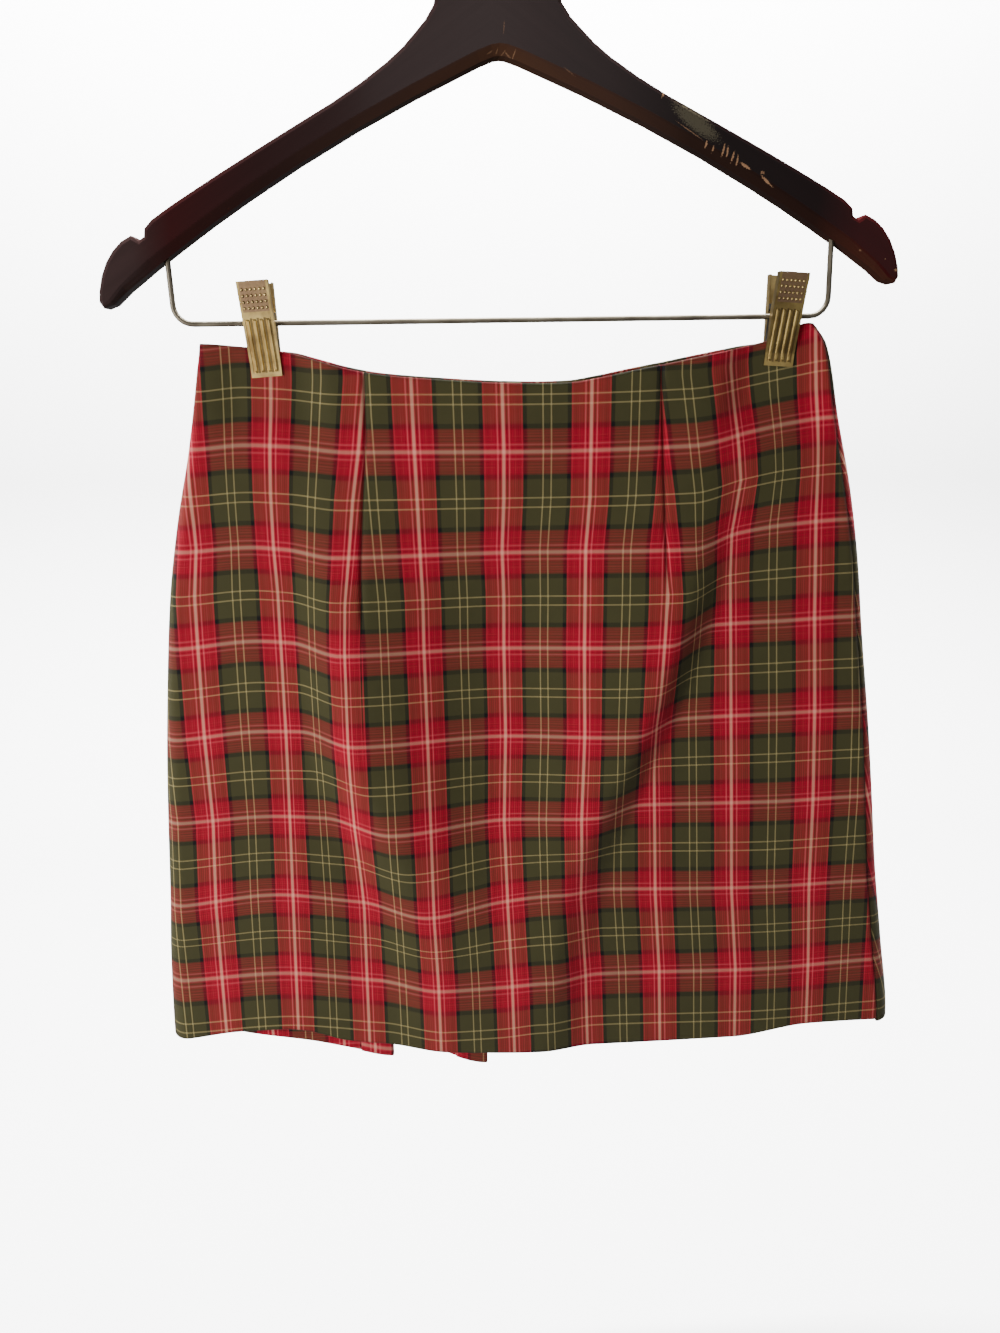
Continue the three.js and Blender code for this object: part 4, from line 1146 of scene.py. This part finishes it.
def board_grain(tree, x, y, z):
    """Long streaks that run down both arms, away from the middle."""
    side = sums(tree, "ABSOLUTE", x)
    slope, rise = math.cos(GRAIN_SLOPE), math.sin(GRAIN_SLOPE)
    along = sums(tree, "MULTIPLY_ADD", side, slope, sums(tree, "MULTIPLY", z, -rise))
    across = sums(tree, "MULTIPLY_ADD", side, rise, sums(tree, "MULTIPLY", z, slope))
    board = add(tree, "ShaderNodeCombineXYZ")
    for way, stretch, socket in zip((along, across, y), GRAIN_STRETCH, board.inputs):
        tree.links.new(sums(tree, "MULTIPLY", way, stretch), socket)
    return noise(tree, board.outputs[0], 1, 6, 0.6)


def lacquered_wood():
    finish, tree, shader = new_finish("dark_lacquered_wood")
    where = object_place(tree)
    x, y, z = parts_of(tree, where)
    grain = board_grain(tree, x, y, z)
    grained = sums(tree, "MULTIPLY_ADD", grain, GRAIN_SWING, GRAIN_BASE)
    pale, red, brown = board_tones(tree, x)
    # Painted sheen: the face is paled where the lacquer shone, most at the left end and in the middle; the
    # same share also sets the coat's real gloss.
    colour = blend(tree, STAIN_DARK, PAINTED_SHEEN_STAIN, sums(tree, "MULTIPLY", pale, grained))
    colour = blend(tree, colour, STAIN_RED, sums(tree, "MULTIPLY", red, grained))
    _, out, up = parts_of(tree, add(tree, "ShaderNodeNewGeometry").outputs["Normal"])
    # Faces turned downward are made browner and lose coat, by the amounts in the table.
    brown_underside = sums(tree, "MULTIPLY", sums(tree, "MULTIPLY", ranged(tree, up, *UNDERSIDE), brown), grained)
    colour = blend(tree, colour, UNDERSIDE_BROWN, brown_underside)
    front = sums(tree, "LESS_THAN", out, FACING_FRONT)
    scuff = sums(tree, "MULTIPLY", lacquer_mark(tree, where, *SCUFF), front)
    colour = blend(tree, colour, SCUFFED, sums(tree, "MULTIPLY", scuff, SCUFF_DEPTH))
    # Chips, plus the painted highlight line of the first row, where bare wood colour shows.
    bare_and_painted_highlight = 0
    for *chip, depth in zip(*CHIPS.values()):
        bare_and_painted_highlight = sums(tree, "MAXIMUM", bare_and_painted_highlight, sums(tree, "MULTIPLY", lacquer_mark(tree, where, *chip), depth))
    bare_and_painted_highlight = sums(tree, "MULTIPLY", bare_and_painted_highlight, front)
    lacquer = sums(tree, "SUBTRACT", 1, sums(tree, "MAXIMUM", bare_and_painted_highlight, brown_underside))
    gloss = sums(tree, "MULTIPLY_ADD", pale, GLOSS_SWING, GLOSS_BASE)
    rough_by = sums(tree, "MAXIMUM", bare_and_painted_highlight, scuff)
    height = sums(tree, "MULTIPLY_ADD", scuff, SCUFF_RELIEF, sums(tree, "MULTIPLY", grain, GRAIN_RELIEF))
    height = sums(tree, "MULTIPLY_ADD", bare_and_painted_highlight, CHIP_RELIEF, height)
    fill(tree, shader, {
        "Base Color": blend(tree, colour, BARE_WOOD_AND_PAINTED_HIGHLIGHT, bare_and_painted_highlight),
        "Roughness": sums(tree, "MULTIPLY_ADD", rough_by, WOOD_ROUGH_SWING, WOOD_ROUGH_BASE),
        "Specular IOR Level": 0,
        "Coat Weight": sums(tree, "MULTIPLY", lacquer, gloss),
        "Coat Roughness": 0.14,
        "Normal": relief(tree, height, 0.25, 0.0006),
    })
    return finish


def dress_node(name, finish, rounding):
    """Own finish and softened edges on a hard part."""
    node = bpy.data.objects[name]
    for place in node.material_slots:
        place.link = "OBJECT"
        place.material = finish
    bevel = node.modifiers.new("soft_edges", "BEVEL")
    bevel.width = rounding
    bevel.segments = 3
    bevel.limit_method = "ANGLE"
    bevel.angle_limit = SOFT_EDGE_ANGLE


dress_node("hanger_body", lacquered_wood(), BOARD_ROUNDING)


# Metal: a nickel-plated wire rod and hook, two brass-plated spring clips pressed from
# sheet, their springs of dark steel, and a small zip slider. All are dulled by handling.
TARNISH_RANGE = (0.40, 0.66)
SCUFF_FINENESS = 9
METAL_ROUGH_SWING = 0.22
WIRE_ROUNDING = 0.0002
PLATE_ROUNDING = 0.00025


def rubbed_metal(name, colour, tarnish, roughness, cloud_scale):
    finish, tree, shader = new_finish(name)
    where = object_place(tree)
    clouds = noise(tree, where, cloud_scale, 5)
    scuffs = noise(tree, where, cloud_scale * SCUFF_FINENESS, 3)
    fill(tree, shader, {
        "Base Color": blend(tree, colour, tarnish, ranged(tree, clouds, *TARNISH_RANGE)),
        "Roughness": sums(tree, "MULTIPLY_ADD", scuffs, METAL_ROUGH_SWING, roughness),
        "Metallic": 1,
        "Normal": relief(tree, scuffs, 0.15, 0.0002),
    })
    return finish


WIRE = rubbed_metal("nickel_wire_rubbed", (0.155, 0.135, 0.10), (0.085, 0.070, 0.050), 0.48, 60)
BRASS = rubbed_metal("brass_plate_rubbed", (0.46, 0.34, 0.14), (0.24, 0.165, 0.07), 0.3, 90)
STEEL = rubbed_metal("dark_steel_rubbed", (0.16, 0.15, 0.14), (0.08, 0.07, 0.06), 0.34, 120)
# Painted shade: a near-black copy of the steel, for the ears inside the clips, which lie in shade.
SHADED_STEEL = rubbed_metal("shaded_steel_dull", (0.050, 0.046, 0.040), (0.022, 0.020, 0.018), 0.5, 120)
HARD_PARTS = [
    ("hanger_hook", WIRE, WIRE_ROUNDING),
    ("clip_rod", WIRE, WIRE_ROUNDING),
    ("left_clip_back_plate", BRASS, PLATE_ROUNDING),
    ("right_clip_back_plate", BRASS, PLATE_ROUNDING),
    ("zip_slider", STEEL, WIRE_ROUNDING),
    ("zip_pull_tab", STEEL, WIRE_ROUNDING),
]
for hard_part in HARD_PARTS:
    dress_node(*hard_part)


# Clip grips: the jaw of each front plate is pressed into upright ribs, with dirt in the
# grooves, and its thumb end into four rows of small studs. The side edges of both plates
# are turned inwards as ears, which the rod passes through.
CLIP_LEAN = {"left": 4.5, "right": -3.4}
PLATE_FACE = [(0, 2.7), (7, 2.7), (17, 4.7), (28, 7.0), (38, 9.1), (49, 11.4)]
RIB_PITCH = 3.6
RIB_HALF = 1.2
RIB_SIDE = 7.0
RIBS_FROM, RIBS_TO = 2.2, 30.5
GROOVE_DIRT = (0.100, 0.066, 0.030)
STUDS_FROM = 33.5
STUD_ROWS = 4
STUDS_ACROSS = 6
STUD_PITCH_ACROSS = 2.35
STUD_PITCH_UP = 3.1
STUD_FIRST = 35.5
STUD_RADIUS = 0.85
STUD_HEIGHT = 0.55
STUD_SUNK = 0.1
STUD_GROUND = (0.250, 0.150, 0.095)
DIRT_MOST = 0.8
# Painted light: the left plate's brass is made lighter and the right plate's darker, as the lamp on the
# left lights them.
LIT_AND_SHADED_TONE = {"left": (1.35, 1.32, 1.20), "right": (0.78, 0.76, 0.66)}
EAR_FROM, EAR_TO = 9.0, 33.0
EAR_STEPS = 37
EAR_OUT = 7.75
EAR_THICK = 0.7
EAR_GAP = 0.2
EAR_INSIDE = 0.9
ROD_UP = 28.0
ROD_CLEAR = 2.1


def plate_marks():
    """Where dirt lies between the ribs of a clip plate, and where its studded end is."""
    group, given, result = new_group(
        "clip_plate_marks",
        [("Place", "NodeSocketVector", None), ("Jaw", "NodeSocketVector", None),
         ("Lean", "NodeSocketFloat", 0)],
        ["Groove", "Studded"],
    )
    x, _, up = turned_part(group, given["Place"], given["Jaw"], given["Lean"])
    across = sums(group, "ABSOLUTE", x)
    half_pitch = RIB_PITCH / 2000
    from_rib = sums(group, "PINGPONG", sums(group, "ADD", across, half_pitch), half_pitch)
    groove = sums(group, "GREATER_THAN", from_rib, RIB_HALF / 1000)
    inside = sums(group, "LESS_THAN", across, RIB_SIDE / 1000)
    above = sums(group, "GREATER_THAN", up, RIBS_FROM / 1000)
    below = sums(group, "LESS_THAN", up, RIBS_TO / 1000)
    ribbed = sums(group, "MULTIPLY", sums(group, "MULTIPLY", above, below), inside)
    thumb_end = sums(group, "GREATER_THAN", up, STUDS_FROM / 1000)
    fill(group, result, {
        "Groove": sums(group, "MULTIPLY", groove, ribbed),
        "Studded": sums(group, "MULTIPLY", inside, thumb_end),
    })
    return group


PLATE_MARKS = plate_marks()


def worked_brass(side):
    """The brass of one front plate, with a painted light tone, lighter on the left plate and darker on the
    right, and the dirt between its ribs and studs.
    """
    finish = BRASS.copy()
    finish.name = side + "_clip_brass"
    tree = finish.node_tree
    base = tree.nodes["Principled BSDF"].inputs["Base Color"]
    colour = blend(tree, base.links[0].from_socket, LIT_AND_SHADED_TONE[side], 1, "MULTIPLY")
    x, z = JAWS[side]
    groove, studded = use_group(tree, PLATE_MARKS, {
        "Place": object_place(tree),
        "Jaw": (x / 1000, 0, z / 1000),
        "Lean": math.radians(CLIP_LEAN[side]),
    })
    for mark, dirt in ((studded, STUD_GROUND), (groove, GROOVE_DIRT)):
        colour = blend(tree, colour, dirt, sums(tree, "MULTIPLY", mark, DIRT_MOST))
    tree.links.new(colour, base)
    return finish


def on_clip(side, x, y, up):
    """Place on a clip, from across, out of and up its plate."""
    lean = math.radians(CLIP_LEAN[side])
    jaw_x, jaw_z = JAWS[side]
    return Vector((
        (jaw_x + x * math.cos(lean) - up * math.sin(lean)) / 1000,
        y / 1000,
        (jaw_z + x * math.sin(lean) + up * math.cos(lean)) / 1000,
    ))


def plate_face(up):
    return np.interp(up, [at for at, _ in PLATE_FACE], [out for _, out in PLATE_FACE])


def make_studs(side):
    shape = bmesh.new()
    for row in range(STUD_ROWS):
        for step in range(STUDS_ACROSS):
            x = (step - (STUDS_ACROSS - 1) / 2) * STUD_PITCH_ACROSS
            up = STUD_FIRST + row * STUD_PITCH_UP
            place = on_clip(side, x, STUD_SUNK - plate_face(up), up)
            stud = bmesh.ops.create_uvsphere(shape, u_segments=10, v_segments=6, radius=STUD_RADIUS / 1000)
            for point in stud["verts"]:
                point.co.y *= STUD_HEIGHT / STUD_RADIUS
                point.co += place
    for face in shape.faces:
        face.smooth = True
    shape_piece(side + "_clip_studs", shape, BRASS)


def skin(shape, rings, smooth_faces):
    """Walls between rings of points, and both ends closed."""
    count = len(rings[0])
    for near, far in zip(rings[:-1], rings[1:]):
        for k in range(count):
            face = shape.faces.new((near[k], near[(k + 1) % count], far[(k + 1) % count], far[k]))
            face.smooth = smooth_faces
    shape.faces.new(rings[0][::-1])
    shape.faces.new(rings[-1])


def make_ear(shape, side, out, edge):
    rings = []
    for up in np.linspace(EAR_FROM, EAR_TO, EAR_STEPS):
        inner = max(EAR_GAP, math.sqrt(max(0, ROD_CLEAR ** 2 - (up - ROD_UP) ** 2)))
        outer = plate_face(up) - EAR_INSIDE
        ring = []
        for depth, share in ((inner, -0.5), (outer, -0.5), (outer, 0.5), (inner, 0.5)):
            place = on_clip(side, edge * EAR_OUT + share * EAR_THICK, out * depth, up)
            ring.append(shape.verts.new(place))
        rings.append(ring)
    skin(shape, rings, False)


def make_ears(side):
    """The plates' side edges turned inwards, with the rod's hole cut half from each."""
    shape = bmesh.new()
    for out in (-1, 1):
        for edge in (-1, 1):
            make_ear(shape, side, out, edge)
    bmesh.ops.recalc_face_normals(shape, faces=shape.faces)
    # The ears are brass edges of the plates, given the near-black steel as painted shade inside the clip.
    shape_piece(side + "_clip_ears", shape, SHADED_STEEL)


for side in JAWS:
    make_studs(side)
    make_ears(side)
    dress_node(side + "_clip_front_plate", worked_brass(side), PLATE_ROUNDING)


# Clip springs: a coil of dark steel wire wound round the rod, with a leg against each
# plate. It holds the jaw shut.
SPRINGS = {"left": (-125.78, -240.53), "right": (162.93, -235.97)}
ROD_SLOPE = 0.0158
COIL_RADIUS = 2.5
COIL_WIRE = 0.5
COIL_TURNS = 7
COIL_LENGTH = 8.4
STEPS_A_TURN = 12
LEG_UP = 9.0
LEG_OUT = 6.4
WIRE_SIDES = 8
# A direction that the wire never follows, so that its rings don't twist.
STEADY = Vector((0, 1, 0.013))


def wire_tube(shape, route, radius):
    """Round wire along a list of points, closed at both ends."""
    rings = []
    turns = [2 * math.pi * k / WIRE_SIDES for k in range(WIRE_SIDES)]
    for i, point in enumerate(route):
        along = (route[min(i + 1, len(route) - 1)] - route[max(i - 1, 0)]).normalized()
        side = along.cross(STEADY).normalized()
        other = along.cross(side)
        ring = [point + (side * math.cos(turn) + other * math.sin(turn)) * radius for turn in turns]
        rings.append([shape.verts.new(place) for place in ring])
    skin(shape, rings, True)
    bmesh.ops.recalc_face_normals(shape, faces=shape.faces)


def make_spring(side, x, z):
    route = [Vector((x - COIL_LENGTH / 2, -LEG_OUT, z + LEG_UP))]
    steps = COIL_TURNS * STEPS_A_TURN
    for step in range(steps + 1):
        share = step / steps
        angle = math.pi + 2 * math.pi * COIL_TURNS * share
        run = (share - 0.5) * COIL_LENGTH
        height = z + run * ROD_SLOPE + COIL_RADIUS * math.sin(angle)
        route.append(Vector((x + run, COIL_RADIUS * math.cos(angle), height)))
    route.append(Vector((x + COIL_LENGTH / 2, LEG_OUT, z + LEG_UP)))
    shape = bmesh.new()
    wire_tube(shape, [point / 1000 for point in route], COIL_WIRE / 1000)
    shape_piece(side + "_clip_coil", shape, STEEL, side + "_clip_spring")


for side, (x, z) in SPRINGS.items():
    make_spring(side, x, z)
